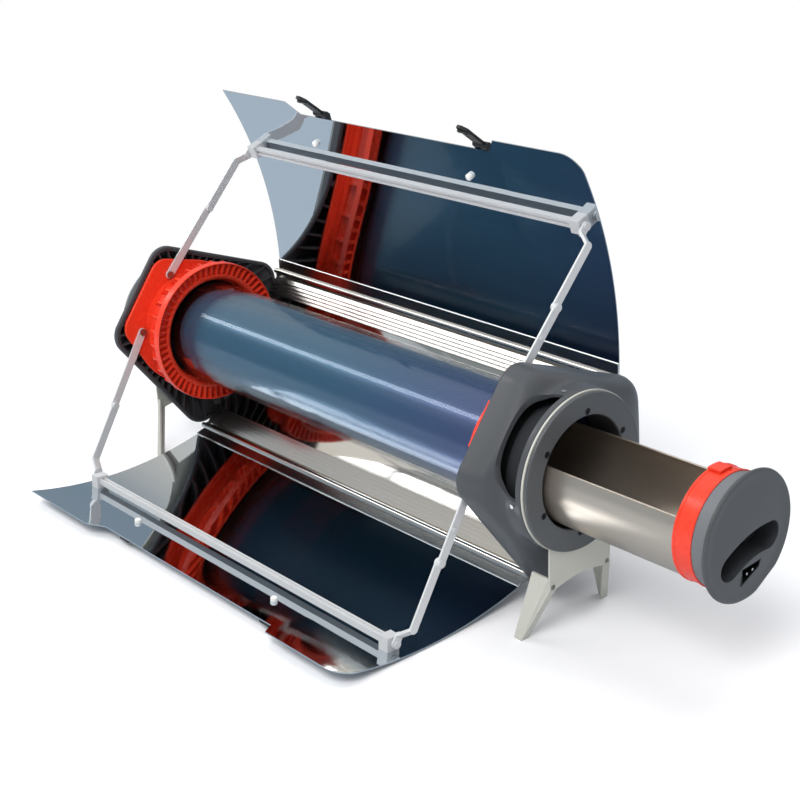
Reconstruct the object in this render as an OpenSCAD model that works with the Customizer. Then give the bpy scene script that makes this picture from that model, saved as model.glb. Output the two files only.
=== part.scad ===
// Tabletop solar oven: an evacuated glass tube lies between two end housings, in front of a curved
// back reflector, and two hinged reflector wings fold over it. A tray on a plug slides into the tube.
// X runs along the tube towards the tray. In the oven's own frame -Y points at the sun.

/* [Stance] */
// Height of the tube's axis above the ground
axis_h = 154; // [152:1:175]
// Angle of the oven's aim above the horizon as it stands
aim = 36.5; // [36:0.5:60]
// Distance that the tray stands pulled out of the tube
pull = 170; // [150:1:200]

/* [Tube] */
// Outer radius of the glass envelope
glass_r = 56; // [55:0.1:56.5]
// Wall of the glass envelope
glass_wall = 2; // [1.5:0.1:2.2]
// Outer radius of the coated inner tube
absorber_r = 51.5; // [50.5:0.1:52]
// Wall of the coated inner tube
absorber_wall = 1.8; // [1.5:0.1:2]
// Distance of the tube's lip behind the face of the mouth disc
lip_depth = 37; // [36.8:0.1:38]
// Clear distance between the two domes at the closed end
dome_space = 16; // [12:1:20]
// Width of each spring clip in the closed end, in degrees round the tube
clip_width_deg = 14; // [8:1:20]
// Length of each spring clip
clip_len = 16; // [8:1:20]

/* [Mouth] */
// Radius of the face disc
disc_r = 73.3; // [72:0.1:74.5]
// Thickness of the face disc
disc_t = 3; // [2:0.5:4]
// Radius of the mouth
mouth_r = 52.5; // [52.3:0.1:52.7]
// Outer radius of the mouth collar, on which the stand turns
collar_r = 60; // [59:0.5:61]
// Inner radius of the mouth collar
collar_bore_r = 52.8; // [52.8:0.1:53.2]
// Number of screws in each disc
disc_screws_n = 6; // [4:1:8]
// Radius of a disc screw's shank
disc_screw_r = 1.5; // [1:0.1:1.8]
// Depth of a disc screw in the collar
disc_screw_depth = 12; // [8:1:14]

/* [Housings] */
// Depth of the near housing, from the disc's face to its rim
near_depth = 62; // [58:1:66]
// Depth of the far housing, from the disc's face to its rim
far_depth = 25; // [24:1:30]
// Wall of the housings
shell_wall = 3; // [2:0.5:4]
// Radius of the drum behind the face disc
drum_r = 75; // [74:0.5:77]
// Length of the drum's straight part, from the disc's face
drum_len = 24; // [20:1:28]
// Place of the front corner circles, towards the sun and off the middle
front_y = 60; // [56:1:62]
// Distance of the front corner circles from the middle
front_z = 42; // [40:1:46]
// Radius of the front corners
front_r = 24; // [22:1:26]
// Distance of the hinge corner circles behind the axis
hinge_corner_y = 68; // [66:1:72]
// Distance of the hinge corner circles from the middle
hinge_corner_z = 78; // [76:1:80]
// Radius of the hinge corners
hinge_corner_r = 26; // [24:1:28]
// Distance of the back corner circles behind the axis
back_corner_y = 96; // [92:1:98]
// Distance of the back corner circles from the middle
back_corner_z = 40; // [36:1:44]
// Radius of the back corners
back_corner_r = 30; // [28:1:32]
// Radius of the far housing's back
far_back_r = 77.5; // [76.5:0.5:82]
// Width of the far housing's straight rim
far_rim_w = 4; // [2:0.5:5]
// Half angle of the grip slot round the drum
grip_half_deg = 42; // [35:1:48]
// Front edge of the grip slot behind the disc's face
grip_front = 11; // [10:1:13]
// Width of the grip slot along the tube
grip_width = 21; // [16:1:24]
// Number of ribs in the black inner frames
frame_ribs_n = 30; // [20:1:36]
// Thickness of the ribs and walls of the inner frames
frame_rib_t = 2; // [1.5:0.5:3]

/* [Red liners] */
// Radius of the far liner's rim
bell_r = 79; // [77:0.5:79.5]
// Height of the far liner's face above its flange
bell_h = 55.1; // [50:0.1:58]
// Outer radius of the liners' throat
throat_r = 60.4; // [60:0.1:60.6]
// Running space between the glass and a liner
throat_gap = 1.3; // [0.8:0.1:1.6]
// Number of slots round the liner's face
slots_n = 60; // [48:1:66]
// Width of each slot
slot_w = 3.4; // [2:0.1:4]
// Thickness of the liners' flange
flange_t = 3; // [2:0.5:4]

/* [Back reflector and rails] */
// Radius of the back reflector
back_rad = 111.8; // [111:0.1:113]
// Thickness of the back reflector
back_t = 0.8; // [0.5:0.1:1]
// Thickness of a rail behind its ribs
rail_t = 5; // [4:0.5:6]
// Height of a rail's ribs
rail_rib_h = 3.5; // [2:0.5:4]
// Number of ribs on a rail
rail_ribs_n = 5; // [4:1:6]
// Radius of the bead on which a wing turns
bead_r = 3; // [2.5:0.1:3.5]

/* [Reflector wings] */
// Length of the wings along the tube
wing_len = 533; // [500:1:560]
// Width of a wing, straight from its hinge to its free edge
wing_chord = 233; // [228:1:236]
// Radius of a wing's curve
wing_rad = 420; // [410:1:440]
// Thickness of a wing
wing_t = 1; // [0.8:0.1:1.2]
// Distance of the hinge axes behind the tube's axis
hinge_y = 83.5; // [83:0.1:84.5]
// Distance of the hinge axes from the middle plane
hinge_z = 102.4; // [102:0.1:103]
// Angle of an open wing, from straight behind the oven
open_deg = 142; // [141:0.5:144]
// Depth of the recess in the free edge
recess_d = 14; // [10:1:18]
// Near end of the recess, from the wing's near end
recess_near = 116; // [100:1:118]
// Far end of the recess, from the wing's near end
recess_far = 402; // [398:1:420]
// Radius of the rounded near corner
corner_r = 21; // [16:1:26]

/* [Bars and stays] */
// Distance of the bar's centre from the hinge, along the wing
bar_along = 160; // [158:0.5:162]
// Distance of the bar's centre from the mirror
bar_off = 8; // [7:0.5:8.5]
// Width of the bar
bar_w = 8; // [6:0.5:9]
// Thickness of the bar
bar_h = 6; // [4:0.5:7]
// Distance of a bar's end from the wing's end
bar_inset = 14; // [13:0.5:18]
// Distance of the stays' pivots in front of the axis
pivot_y = 55; // [53:0.5:57]
// Distance of the stays' pivots from the middle plane
pivot_z = 36; // [34:0.5:38]
// Width of the stays
stay_w = 9; // [8:0.5:10]
// Thickness of the stays
stay_t = 2; // [1.5:0.1:2]
// Share of a stay's length in the link at the housing
elbow_share = 0.52; // [0.5:0.01:0.54]
// Radius of the stays' pivot pins
pin_r = 2.5; // [2:0.1:3]

/* [Latches] */
// Length of a latch tongue
tongue_len = 35; // [30:1:46]
// Width of a latch tongue
tongue_w = 12.5; // [8:0.5:14]
// Thickness of a latch tongue
tongue_t = 3; // [2:0.5:4]
// Place of the near latch, from the wing's near end
latch_near_at = 127; // [125:1:150]
// Place of the far latch, from the wing's near end
latch_far_at = 368; // [340:1:385]

/* [Tray] */
// Outer radius of the tray
tray_r = 48.5; // [48:0.1:48.6]
// Thickness of the tray's steel
tray_t = 0.8; // [0.6:0.1:1]
// Length of the tray
tray_len = 517; // [480:1:520]
// Angle of the tray's left rim round the axis
rim_left_deg = 156; // [150:1:165]
// Angle of the tray's right rim round the axis
rim_right_deg = 28; // [20:1:32]
// Radius of the cap
cap_r = 57; // [56:0.5:60]
// Radius of the plug
plug_r = 49.3; // [49:0.1:49.5]
// Length of the plug's full round
plug_len = 14.5; // [12:0.5:16]
// Length of the plug's inner spigot
spigot_len = 17.5; // [15:0.5:20]
// Width of the clamp ring
ring_w = 19; // [15:0.5:20]
// Outer radius of the clamp ring
ring_r = 50.3; // [50.2:0.1:51]
// Depth of the handle recess
grip_depth = 22; // [15:1:22]
// Width of the handle recess
grip_w = 24.6; // [20:0.2:26]
// Distance between the ends' centres of the handle recess, as a share of the plug's bore
grip_span_share = 0.56; // [0.5:0.01:0.58]
// Radius of an inlet pin
inlet_pin_r = 1.15; // [1:0.05:1.5]
// Length of an inlet pin
inlet_pin_len = 7; // [5:0.5:7.5]

/* [Stands] */
// Thickness of the stands' steel
stand_t = 2; // [1.5:0.1:3]
// Radius of a stand's round head
head_r = 74.4; // [73.9:0.1:77]
// Half width of a stand's neck
neck_half = 40; // [36:1:44]
// Half distance between a stand's feet
foot_half = 58; // [52:1:66]
// Width of a leg's front
leg_w = 8.5; // [7:0.5:12]
// Lean of the legs towards the oven's middle
leg_lean = 18; // [10:1:22]
// Depth of a leg's flange at the top
flange_top = 20; // [14:1:22]
// Depth of a leg's flange at the foot
flange_foot = 7; // [5:1:12]
// Depth of a far leg's flange at the top, clear of the far housing
far_flange_top = 4; // [3:0.5:5]
// Depth of a far leg's flange at the foot
far_flange_foot = 5; // [4:0.5:6]

/* [Hidden] */
$fn = 96;

over = 1;
fine = 32;
smooth = 720;
arc_steps = 8;
plate_gap = 0.3;
run_fit = 0.05;
body_gap = 0.3;

// Stations along the tube, from the face of the mouth disc at zero
stand_front = disc_t + plate_gap;
stand_back = stand_front + stand_t;
wall_front = stand_back + plate_gap;
wall_back = wall_front + shell_wall;
frame_proud = 0.9;
frame_face = near_depth + frame_proud;
frame_depth = far_depth - wall_back + frame_proud;
far_frame_depth = far_rim_w + frame_proud;
frame_plate_t = 3;
flange_face = frame_face + flange_t;
arm_front = flange_face + body_gap;
link_front = arm_front + stay_t + body_gap;
wing_gap = 1.5;
wing_near = link_front + stay_t + wing_gap;
wing_far = wing_near + wing_len;
mid_x = -(wing_near + wing_far)/2;
far_x = 2*mid_x + near_depth - far_depth;
inside_len = -2*mid_x - 2*frame_face;

// The wings
function chord_dir(a) = [cos(a), sin(a)];
function inner_dir(a) = [-sin(a), cos(a)];
half_chord = wing_chord/2;
wing_centre = sqrt(pow(wing_rad, 2) - pow(half_chord, 2));
function mirror_at(s) = wing_centre - sqrt(pow(wing_rad, 2) - pow(s - half_chord, 2));
function wing_point(s, n) = [hinge_y, hinge_z] + s*chord_dir(open_deg) + n*inner_dir(open_deg);
bar_turn = asin((bar_along - half_chord)/wing_rad);
bar_n = mirror_at(bar_along) + bar_off;
bar_point = wing_point(bar_along, bar_n);
pivot_point = [-pivot_y, pivot_z];
stay_vec = bar_point - pivot_point;
stay_len = norm(stay_vec);
stay_deg = atan2(stay_vec[1], stay_vec[0]);
arm_len = stay_len*elbow_share;
link_len = stay_len - arm_len;
tip = wing_point(wing_chord, 0);

// The oven stands with the middle of its box over the origin
cap_front_h = 5.8;
seat_gap = 0.5;
seat_x = pull + seat_gap;
x_mid = (far_x + seat_x + cap_front_h)/2;
y_low = tip[0]*cos(aim) - tip[1]*sin(aim);
y_high = back_corner_y*cos(aim) + back_corner_z*sin(aim) + back_corner_r;
y_mid = (y_low + y_high)/2;

module ground() { translate([-x_mid, -y_mid, 0]) children(); }
module level() { translate([-x_mid, -y_mid, axis_h]) children(); }
module oven() { level() rotate([-aim, 0, 0]) children(); }
module far_end() { translate([far_x, 0, 0]) mirror([1, 0, 0]) children(); }
module far_rim() { translate([2*mid_x, 0, 0]) mirror([1, 0, 0]) children(); }
module both_rims() { children(); far_rim() children(); }
module under() { mirror([0, 0, 1]) children(); }
// Draws a flat outline in Y and Z, from one station along the tube to another
module across(x0, x1) {
  translate([min(x0, x1), 0, 0]) rotate([90, 0, 90]) linear_extrude(abs(x1 - x0)) children();
}
module rod(x0, x1, r) {
  translate([min(x0, x1), 0, 0]) rotate([0, 90, 0]) cylinder(r = r, h = abs(x1 - x0));
}
module tube(x0, x1, r_out, r_in) {
  difference() {
    rod(x0, x1, r_out);
    rod(min(x0, x1) - over, max(x0, x1) + over, r_in);
  }
}
// Spins an outline of radius and depth about the tube's axis, with depth running along -X
module spun() { rotate([0, -90, 0]) rotate_extrude() children(); }
module sector(r, from_deg, to_deg) {
  polygon(concat([[0, 0]], arc_points([0, 0], r, from_deg, to_deg)));
}
function arc_points(centre, r, from_deg, to_deg) = [for (i = [0:arc_steps])
  centre + r*chord_dir(from_deg + (to_deg - from_deg)*i/arc_steps)];
module bent(r_out, r_in, from_deg, to_deg) {
  intersection() {
    difference() { circle(r_out); circle(r_in); }
    sector(2*r_out, from_deg, to_deg);
  }
}

// Stands
foot_x = stand_back + leg_lean;
leg_top = 104;
arch_h = 100;
neck_top = 60;
flange_start = 92;
rivet_r = 2.6;
rivet_h = 1.2;
rivet_y = 36;
rivet_z = 101;

module leg(top_depth, foot_depth) {
  color("#b7b7ae") hull() {
    translate([-stand_back, neck_half - leg_w, axis_h - leg_top]) cube([stand_t, leg_w, stand_t]);
    translate([-foot_x, foot_half - leg_w, 0]) cube([stand_t, leg_w, stand_t]);
  }
  color("#b7b7ae") hull() {
    translate([-stand_back - top_depth, neck_half - stand_t, axis_h - leg_top])
      cube([top_depth, stand_t, leg_top - flange_start]);
    translate([-foot_x - foot_depth, foot_half - stand_t, 0])
      cube([foot_depth + stand_t, stand_t, stand_t]);
  }
}
module stand_plate() {
  arch_r = (pow(neck_half - leg_w, 2) + pow(leg_top - arch_h, 2))/(2*(leg_top - arch_h));
  color("#b7b7ae") difference() {
    translate([0, 0, axis_h]) union() {
      rod(-stand_back, -stand_front, head_r);
      translate([-stand_back, -neck_half, -leg_top])
        cube([stand_t, 2*neck_half, leg_top - neck_top]);
    }
    translate([0, 0, axis_h]) rod(-stand_back - over, -stand_front + over, collar_r + run_fit);
    translate([0, 0, axis_h - arch_h - arch_r]) intersection() {
      rod(-stand_back - over, -stand_front + over, arch_r);
      translate([-stand_back - over, -neck_half + leg_w, 0])
        cube([stand_t + 2*over, 2*(neck_half - leg_w), 2*arch_r]);
    }
  }
}
module stand(top_depth, foot_depth) {
  union() {
    stand_plate();
    leg(top_depth, foot_depth);
    mirror([0, 1, 0]) leg(top_depth, foot_depth);
  }
}
module stand_near() { ground() stand(flange_top, flange_foot); }
module stand_far() { ground() far_end() stand(far_flange_top, far_flange_foot); }
module rivet_pair() {
  for (s = [-1, 1]) translate([-stand_front, s*rivet_y, axis_h - rivet_z])
    rotate([0, 90, 0]) cylinder(r1 = rivet_r, r2 = rivet_r/2, h = rivet_h);
}
module stand_rivets() {
  color("#8d8d86") ground() { rivet_pair(); far_end() rivet_pair(); }
}

// Housings
module outline(inset) {
  hull() for (s = [-1, 1]) {
    translate([-front_y, s*front_z]) circle(front_r - inset, $fn = fine);
    translate([hinge_corner_y, s*hinge_corner_z]) circle(hinge_corner_r - inset, $fn = fine);
    translate([back_corner_y, s*back_corner_z]) circle(back_corner_r - inset, $fn = fine);
  }
}
straight_to = frame_face - frame_depth;
frame_fit = 0.2;
slot_r = 64;
seam = 0.01;

module housing_skin(inset, x0, x1) {
  hull() {
    across(-near_depth - x0, -straight_to) outline(inset);
    rod(-drum_len - over, -drum_len, drum_r - inset);
  }
  rod(-drum_len - over, -x1, drum_r - inset);
}
module near_housing() {
  color("#4b4d50") oven() difference() {
    housing_skin(0, 0, wall_front);
    housing_skin(shell_wall, over, wall_back);
    rod(-wall_back - over, -wall_front + over, collar_r + 2*run_fit);
    across(-grip_front - grip_width, -grip_front)
      bent(2*drum_r, slot_r, 180 - grip_half_deg, 180 + grip_half_deg);
  }
}
module far_skin(inset, x0, x1) {
  hull() {
    across(-far_depth - x0, -far_depth + far_rim_w) outline(inset);
    rod(-wall_back, -x1, far_back_r - inset);
  }
}
module far_housing() {
  color("#4b4d50") oven() far_end() difference() {
    far_skin(0, 0, wall_front);
    far_skin(shell_wall, over, wall_back - seam);
    rod(-wall_back - over, -wall_front + over, collar_r + 2*run_fit);
  }
}
frame_bore_r = 62;
frame_ring_r = 65;
module frame_walls() {
  difference() {
    outline(shell_wall + frame_fit);
    difference() {
      outline(shell_wall + frame_fit + frame_rib_t);
      circle(frame_ring_r);
      for (i = [0:frame_ribs_n - 1]) rotate(360*i/frame_ribs_n)
        translate([0, -frame_rib_t/2]) square([2*drum_r, frame_rib_t]);
    }
    circle(frame_bore_r);
  }
}
module inner_frame(depth) {
  union() {
    across(-frame_face + depth - frame_plate_t, -frame_face + depth) difference() {
      outline(shell_wall + frame_fit);
      circle(frame_bore_r);
    }
    across(-frame_face, -frame_face + depth - frame_plate_t) frame_walls();
  }
}
module near_frame() { color("#232527") oven() inner_frame(frame_depth); }
module far_frame() { color("#232527") oven() far_rim() inner_frame(far_frame_depth); }

// Red liners
glass_bore_r = glass_r + throat_gap;
lobe_y = 58;
lobe_z = 32;
lobe_r = 20;
flange_r = 72;
pad_y = 68;
pad_w = 10;
pad_half = 22;
pad_t = 1.5;
near_throat_h = 19;
root_h = 8;
cone_h = 38;
face_dip = 2.1;
band_dip = 4.6;
band_in_r = 61.4;
band_out_r = 71.2;
rim_w = 2.2;
pocket_floor_r = 62.8;
pocket_h0 = 15;
face_t = 4;
pocket_ribs_n = 30;
slot_len = 10;
throat_slot_h = 8;

module flange() {
  across(-flange_face, -frame_face) difference() {
    union() {
      circle(flange_r);
      hull() for (s = [-1, 1]) translate([-lobe_y, s*lobe_z]) circle(lobe_r, $fn = fine);
    }
    circle(glass_bore_r);
  }
  translate([-flange_face - pad_t, -pad_y - pad_w, -pad_half]) cube([pad_t + over, pad_w, 2*pad_half]);
}
module near_liner() {
  color("#e8432e") oven() union() {
    flange();
    tube(-flange_face - near_throat_h, -flange_face + over, throat_r, glass_bore_r);
  }
}
module bell_solid() {
  spun() polygon([[glass_bore_r, 0], [throat_r, 0], [throat_r, root_h], [bell_r, cone_h],
    [bell_r, bell_h], [bell_r - rim_w, bell_h], [band_out_r, bell_h - face_dip],
    [band_in_r, bell_h - band_dip], [glass_bore_r, bell_h - 2*band_dip]]);
}
module bell_pockets() {
  pocket_top = bell_h - band_dip - face_t;
  difference() {
    spun() polygon([[pocket_floor_r, pocket_h0], [2*bell_r, pocket_h0], [2*bell_r, pocket_top],
      [pocket_floor_r, pocket_top - band_dip]]);
    for (i = [0:pocket_ribs_n - 1]) rotate([360*i/pocket_ribs_n, 0, 0])
      translate([-bell_h, -frame_rib_t/2, 0]) cube([bell_h, frame_rib_t, 2*bell_r]);
  }
}
module bell_slots() {
  for (i = [0:slots_n - 1]) rotate([360*(i + 1/2)/slots_n, 0, 0]) {
    translate([-bell_h - over, -slot_w/2, bell_r - rim_w - slot_len])
      cube([band_dip + face_t + over, slot_w, slot_len]);
    translate([-bell_h + band_dip, -slot_w/2, glass_bore_r - over])
      cube([throat_slot_h, slot_w, throat_r - glass_bore_r + over]);
  }
}
module far_liner() {
  color("#e8432e") oven() far_rim() union() {
    flange();
    difference() {
      translate([-flange_face, 0, 0]) bell_solid();
      translate([-flange_face, 0, 0]) bell_pockets();
      translate([-flange_face, 0, 0]) bell_slots();
    }
  }
}

// Discs, screws and bearings
screw_ring_r = (collar_r + collar_bore_r)/2;
screw_first_deg = 32.6;
screw_head_r = 3.2;
screw_head_h = 0.8;
screw_play = 0.1;
grip_screw_r = 2;
grip_screw_h = 1.4;
grip_screw_back = 15;
grip_screw_past = 3.5;
grip_screw_deg = grip_half_deg + grip_screw_past;
edge_round = 1;
hub_len = 20;
hub_web = 3;
hub_hole_r = 12;
cup_r = 38;
cup_len = 26;
seal_len = 13;

module at_screws() {
  for (i = [0:disc_screws_n - 1]) rotate([screw_first_deg + 360*i/disc_screws_n, 0, 0])
    translate([0, 0, screw_ring_r]) children();
}
module screw_holes() {
  at_screws() {
    rod(-disc_t - over, over, disc_screw_r + screw_play);
    rod(-screw_head_h, over, screw_head_r + screw_play);
  }
}
module disc_body() {
  spun() polygon([[0, 0], [disc_r - edge_round, 0], [disc_r, edge_round], [disc_r, disc_t], [0, disc_t]]);
}
module face_disc() {
  color("#56585a") oven() difference() {
    disc_body();
    rod(-disc_t - over, over, mouth_r);
    screw_holes();
  }
}
module far_disc() {
  color("#56585a") oven() far_end() difference() {
    disc_body();
    screw_holes();
  }
}
module screw_set() {
  at_screws() {
    rod(-screw_head_h, 0, screw_head_r);
    rod(-disc_screw_depth, 0, disc_screw_r);
  }
}
module disc_screws() {
  color("#2b2c2e") oven() { screw_set(); far_end() screw_set(); }
}
module grip_screws() {
  color("silver") oven() for (s = [-1, 1]) rotate([s*grip_screw_deg, 0, 0])
    translate([-grip_screw_back, -drum_r - run_fit - grip_screw_h, 0])
      rotate([-90, 0, 0]) cylinder(r = grip_screw_r, h = grip_screw_h);
}
module mouth_collar() {
  color("#1d1e20") oven() difference() {
    tube(-lip_depth + plate_gap, -disc_t, collar_r, collar_bore_r);
    at_screws() rod(-disc_screw_depth - over, over, disc_screw_r + run_fit);
  }
}
module far_hub() {
  color("#1d1e20") oven() far_end() difference() {
    rod(-hub_len, -disc_t, collar_r);
    rod(-hub_len + hub_web, over, collar_bore_r);
    rod(-hub_len - over, over, hub_hole_r);
    at_screws() rod(-disc_screw_depth - over, over, disc_screw_r + run_fit);
  }
}
module tube_seal() {
  color("#141516") oven() tube(-lip_depth - seal_len, -lip_depth, collar_r, glass_r);
}

// Evacuated tube: the outer dome's centre lies one radius before its end
dome_clear = 12;
dome_end = far_x + hub_len + dome_clear;
outer_dome_x = dome_end + glass_r;
inner_dome_x = dome_end + dome_space + absorber_r;
lip_t = 3;
module dome(x, r) {
  translate([x, 0, 0]) rotate([0, -90, 0]) intersection() {
    sphere(r);
    cylinder(r = 2*r, h = 2*r);
  }
}
module glass_envelope() {
  color("#9db4c8", 0.35) oven() difference() {
    union() {
      rod(outer_dome_x, -lip_depth, glass_r);
      dome(outer_dome_x, glass_r);
    }
    rod(outer_dome_x, -lip_depth - lip_t, glass_r - glass_wall);
    rod(outer_dome_x, -lip_depth + over, absorber_r - absorber_wall);
    dome(outer_dome_x, glass_r - glass_wall);
  }
}
module absorber_tube() {
  color("#28405f") oven() difference() {
    union() {
      rod(inner_dome_x, -lip_depth - lip_t, absorber_r);
      dome(inner_dome_x, absorber_r);
    }
    rod(inner_dome_x, -lip_depth, absorber_r - absorber_wall);
    dome(inner_dome_x, absorber_r - absorber_wall);
  }
}
module tube_clips() {
  color("silver") oven() for (i = [0:2]) rotate([120*i + 60, 0, 0])
    across(outer_dome_x, outer_dome_x + clip_len)
      bent(glass_r - glass_wall, absorber_r, 180 - clip_width_deg/2, 180 + clip_width_deg/2);
}
module tube_cup() {
  color("#1a1b1c") oven() difference() {
    rod(far_x + hub_len, far_x + hub_len + cup_len, cup_r);
    translate([outer_dome_x, 0, 0]) sphere(glass_r);
    rod(far_x, far_x + hub_len + cup_len + over, hub_hole_r);
  }
}

// Rails and back reflector
rail_front = 88;
rail_low = 75;
rail_high = 97;
rib_w = 1.4;
neck_w = 2.4;
neck_len = 8;
neck_deg = -42;
module rail_shape() {
  translate([rail_front, rail_low]) square([rail_t, rail_high - rail_low]);
  for (i = [0:rail_ribs_n - 1])
    translate([rail_front - rail_rib_h, rail_low + i*(rail_high - rail_low - rib_w)/rail_ribs_n])
      square([rail_rib_h + rail_t/2, rib_w]);
  translate([hinge_y, hinge_z]) {
    circle(bead_r);
    rotate(neck_deg) translate([0, -neck_w/2]) square([neck_len + bead_r, neck_w]);
  }
}
module rail() { across(-frame_face - inside_len, -frame_face) rail_shape(); }
module rail_upper() { color("#d9dadb") oven() rail(); }
module rail_lower() { color("#d9dadb") oven() under() rail(); }
back_edge = rail_low - body_gap - back_t;
back_half_deg = asin(back_edge/back_rad);
back_centre = rail_front - back_rad*cos(back_half_deg);
module back_reflector() {
  color("#dfe3e6") oven() translate([0, back_centre, 0])
    across(-frame_face - inside_len, -frame_face)
      bent(back_rad + back_t, back_rad, -back_half_deg, back_half_deg);
}

// Stays
pivot_head_r = 4;
pivot_head_t = 1.4;
stay_head_t = 1.2;
joggle_start = 7;
joggle_end = 19;
eye_lap = 4;
eye_front = wing_near + bar_inset - eye_lap;
mark_r = 2.2;
mark_share = 0.64;

module at_pivot() { translate([0, pivot_point[0], pivot_point[1]]) children(); }
module at_bar() { translate([0, bar_point[0], bar_point[1]]) children(); }
module pivot_pin() {
  at_pivot() {
    rod(-arm_front - stay_t - body_gap/2, -flange_face, pin_r);
    rod(-arm_front - stay_t - body_gap/2 - pivot_head_t, -arm_front - stay_t - body_gap/2, pivot_head_r);
  }
}
module stay_pivots() {
  color("#c9ccce") oven() both_rims() { pivot_pin(); under() pivot_pin(); }
}
// A flat strap with round ends, along +Y from its own origin
module strap(len) {
  circle(stay_w/2);
  translate([0, -stay_w/2]) square([len, stay_w]);
  translate([len, 0]) circle(stay_w/2);
}
module arm() {
  at_pivot() rotate([stay_deg, 0, 0]) difference() {
    union() {
      across(-arm_front - stay_t, -arm_front) strap(arm_len);
      translate([0, arm_len, 0]) rod(-arm_front, -arm_front + stay_head_t, pivot_head_r);
      translate([0, arm_len*mark_share, 0]) rod(-arm_front, -arm_front + stay_head_t, mark_r);
    }
    rod(-arm_front - stay_t - over, -arm_front + over, pin_r + run_fit);
  }
}
module link() {
  at_bar() rotate([stay_deg + 180, 0, 0]) difference() {
    union() {
      across(-link_front - stay_t, -link_front) translate([joggle_end, 0]) strap(link_len - joggle_end);
      across(-eye_front - stay_t, -eye_front) strap(joggle_start);
      hull() {
        across(-eye_front - stay_t, -eye_front) translate([joggle_start, -stay_w/2])
          square([stay_t, stay_w]);
        across(-link_front - stay_t, -link_front) translate([joggle_end - stay_t, -stay_w/2])
          square([stay_t, stay_w]);
      }
      translate([0, link_len, 0])
        rod(-link_front - stay_t - stay_head_t, -link_front - stay_t, pivot_head_r);
    }
    rod(-eye_front - stay_t - over, -eye_front + over, pin_r + run_fit);
  }
}
module arm_upper_near() { color("#c4c7c9") oven() arm(); }
module arm_upper_far() { color("#c4c7c9") oven() far_rim() arm(); }
module arm_lower_near() { color("#c4c7c9") oven() under() arm(); }
module arm_lower_far() { color("#c4c7c9") oven() far_rim() under() arm(); }
module link_upper_near() { color("#c4c7c9") oven() link(); }
module link_upper_far() { color("#c4c7c9") oven() far_rim() link(); }
module link_lower_near() { color("#c4c7c9") oven() under() link(); }
module link_lower_far() { color("#c4c7c9") oven() far_rim() under() link(); }

// Wings, drawn from the hinge: Y along the chord, Z towards the tube
module wing_frame() { translate([0, hinge_y, hinge_z]) rotate([open_deg, 0, 0]) children(); }
knuckle_r = 5.2;
wing_start = 6;
step_far = 17;
step_near = 11;
plan_depth = 60;
strip_h = 16;
strip_t = 1.5;

module wing_curve(r_out, r_in, s0, s1) {
  intersection() {
    translate([half_chord, wing_centre]) difference() {
      circle(r_out, $fn = smooth);
      circle(r_in, $fn = smooth);
    }
    translate([s0, -plan_depth]) square([s1 - s0, plan_depth + strip_h]);
  }
}
module wing_plan() {
  difference() {
    translate([-wing_far, wing_start]) square([wing_len, wing_chord - wing_start]);
    polygon([[-wing_near - recess_near + step_near, wing_chord + over],
      [-wing_near - recess_near + step_near, wing_chord], [-wing_near - recess_near, wing_chord - recess_d],
      [-wing_near - recess_far, wing_chord - recess_d], [-wing_near - recess_far - step_far, wing_chord],
      [-wing_near - recess_far - step_far, wing_chord + over]]);
    translate([-wing_near - corner_r, wing_chord - corner_r]) polygon(concat(
      arc_points([0, 0], corner_r, 0, 90), [[0, corner_r + over], [corner_r + over, corner_r + over],
      [corner_r + over, 0]]));
  }
}
module wing() {
  wing_frame() intersection() {
    across(-wing_far, -wing_near) wing_curve(wing_rad + wing_t, wing_rad, wing_start, wing_chord);
    translate([0, 0, -plan_depth]) linear_extrude(2*plan_depth) wing_plan();
  }
}
// The strip wraps the rail's bead and leaves a mouth for the bead's neck through the whole fold
mouth_from_deg = 88;
mouth_to_deg = 210;
bead_fit = 0.08;
module hinge_strip() {
  wing_frame() across(-wing_far, -wing_near) {
    difference() {
      union() {
        circle(knuckle_r);
        intersection() {
          wing_curve(wing_rad, wing_rad - strip_t, 0, strip_h);
          translate([bead_r + bead_fit, -strip_h]) square([strip_h, 2*strip_h]);
        }
      }
      circle(bead_r + bead_fit);
      sector(2*knuckle_r, mouth_from_deg, mouth_to_deg);
    }
  }
}
groove_w = 3;
groove_d = 2;
module bar_shape() {
  difference() {
    translate([-bar_w/2, -bar_h/2]) square([bar_w, bar_h]);
    translate([-groove_w/2, bar_h/2 - groove_d]) square([groove_w, groove_d + over]);
  }
}
bracket_len = 12;
bracket_w = 14;
bracket_wall = 3;
module in_bar_frame() {
  wing_frame() translate([0, bar_along, bar_n]) rotate([bar_turn, 0, 0]) children();
}
module bar() {
  in_bar_frame() across(-wing_far + bar_inset, -wing_near - bar_inset) bar_shape();
}
module bracket() {
  difference() {
    union() {
      intersection() {
        in_bar_frame() translate([-wing_near - bar_inset - bracket_len, -bracket_w/2, -bar_off - over])
          cube([bracket_len, bracket_w, bar_off + over + bar_h/2 + bracket_wall]);
        wing_frame() across(-wing_far, -wing_near) translate([half_chord, wing_centre])
          circle(wing_rad, $fn = smooth);
      }
      in_bar_frame() rod(-wing_near - bar_inset - bracket_wall, -eye_front + body_gap, pin_r);
      in_bar_frame() rod(-eye_front + body_gap, -eye_front + body_gap + pivot_head_t, pivot_head_r);
    }
    in_bar_frame() translate([-wing_near - bar_inset - bracket_len - over, 0, 0])
      translate([0, -bar_w/2, -bar_h/2]) cube([bracket_len - bracket_wall + over, bar_w, bar_h]);
  }
}
module bar_end() {
  difference() {
    bar();
    both_rims() in_bar_frame() translate([-wing_near - bar_inset - bracket_wall, -bar_w, -bar_h])
      cube([bracket_wall + over, 2*bar_w, 2*bar_h]);
  }
}
bumper_along = 183;
bumper_r = 3.5;
bumper_h = 4;
bumper_shares = [0.3, 0.7486];
bumper_turn = asin((bumper_along - half_chord)/wing_rad);
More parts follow.
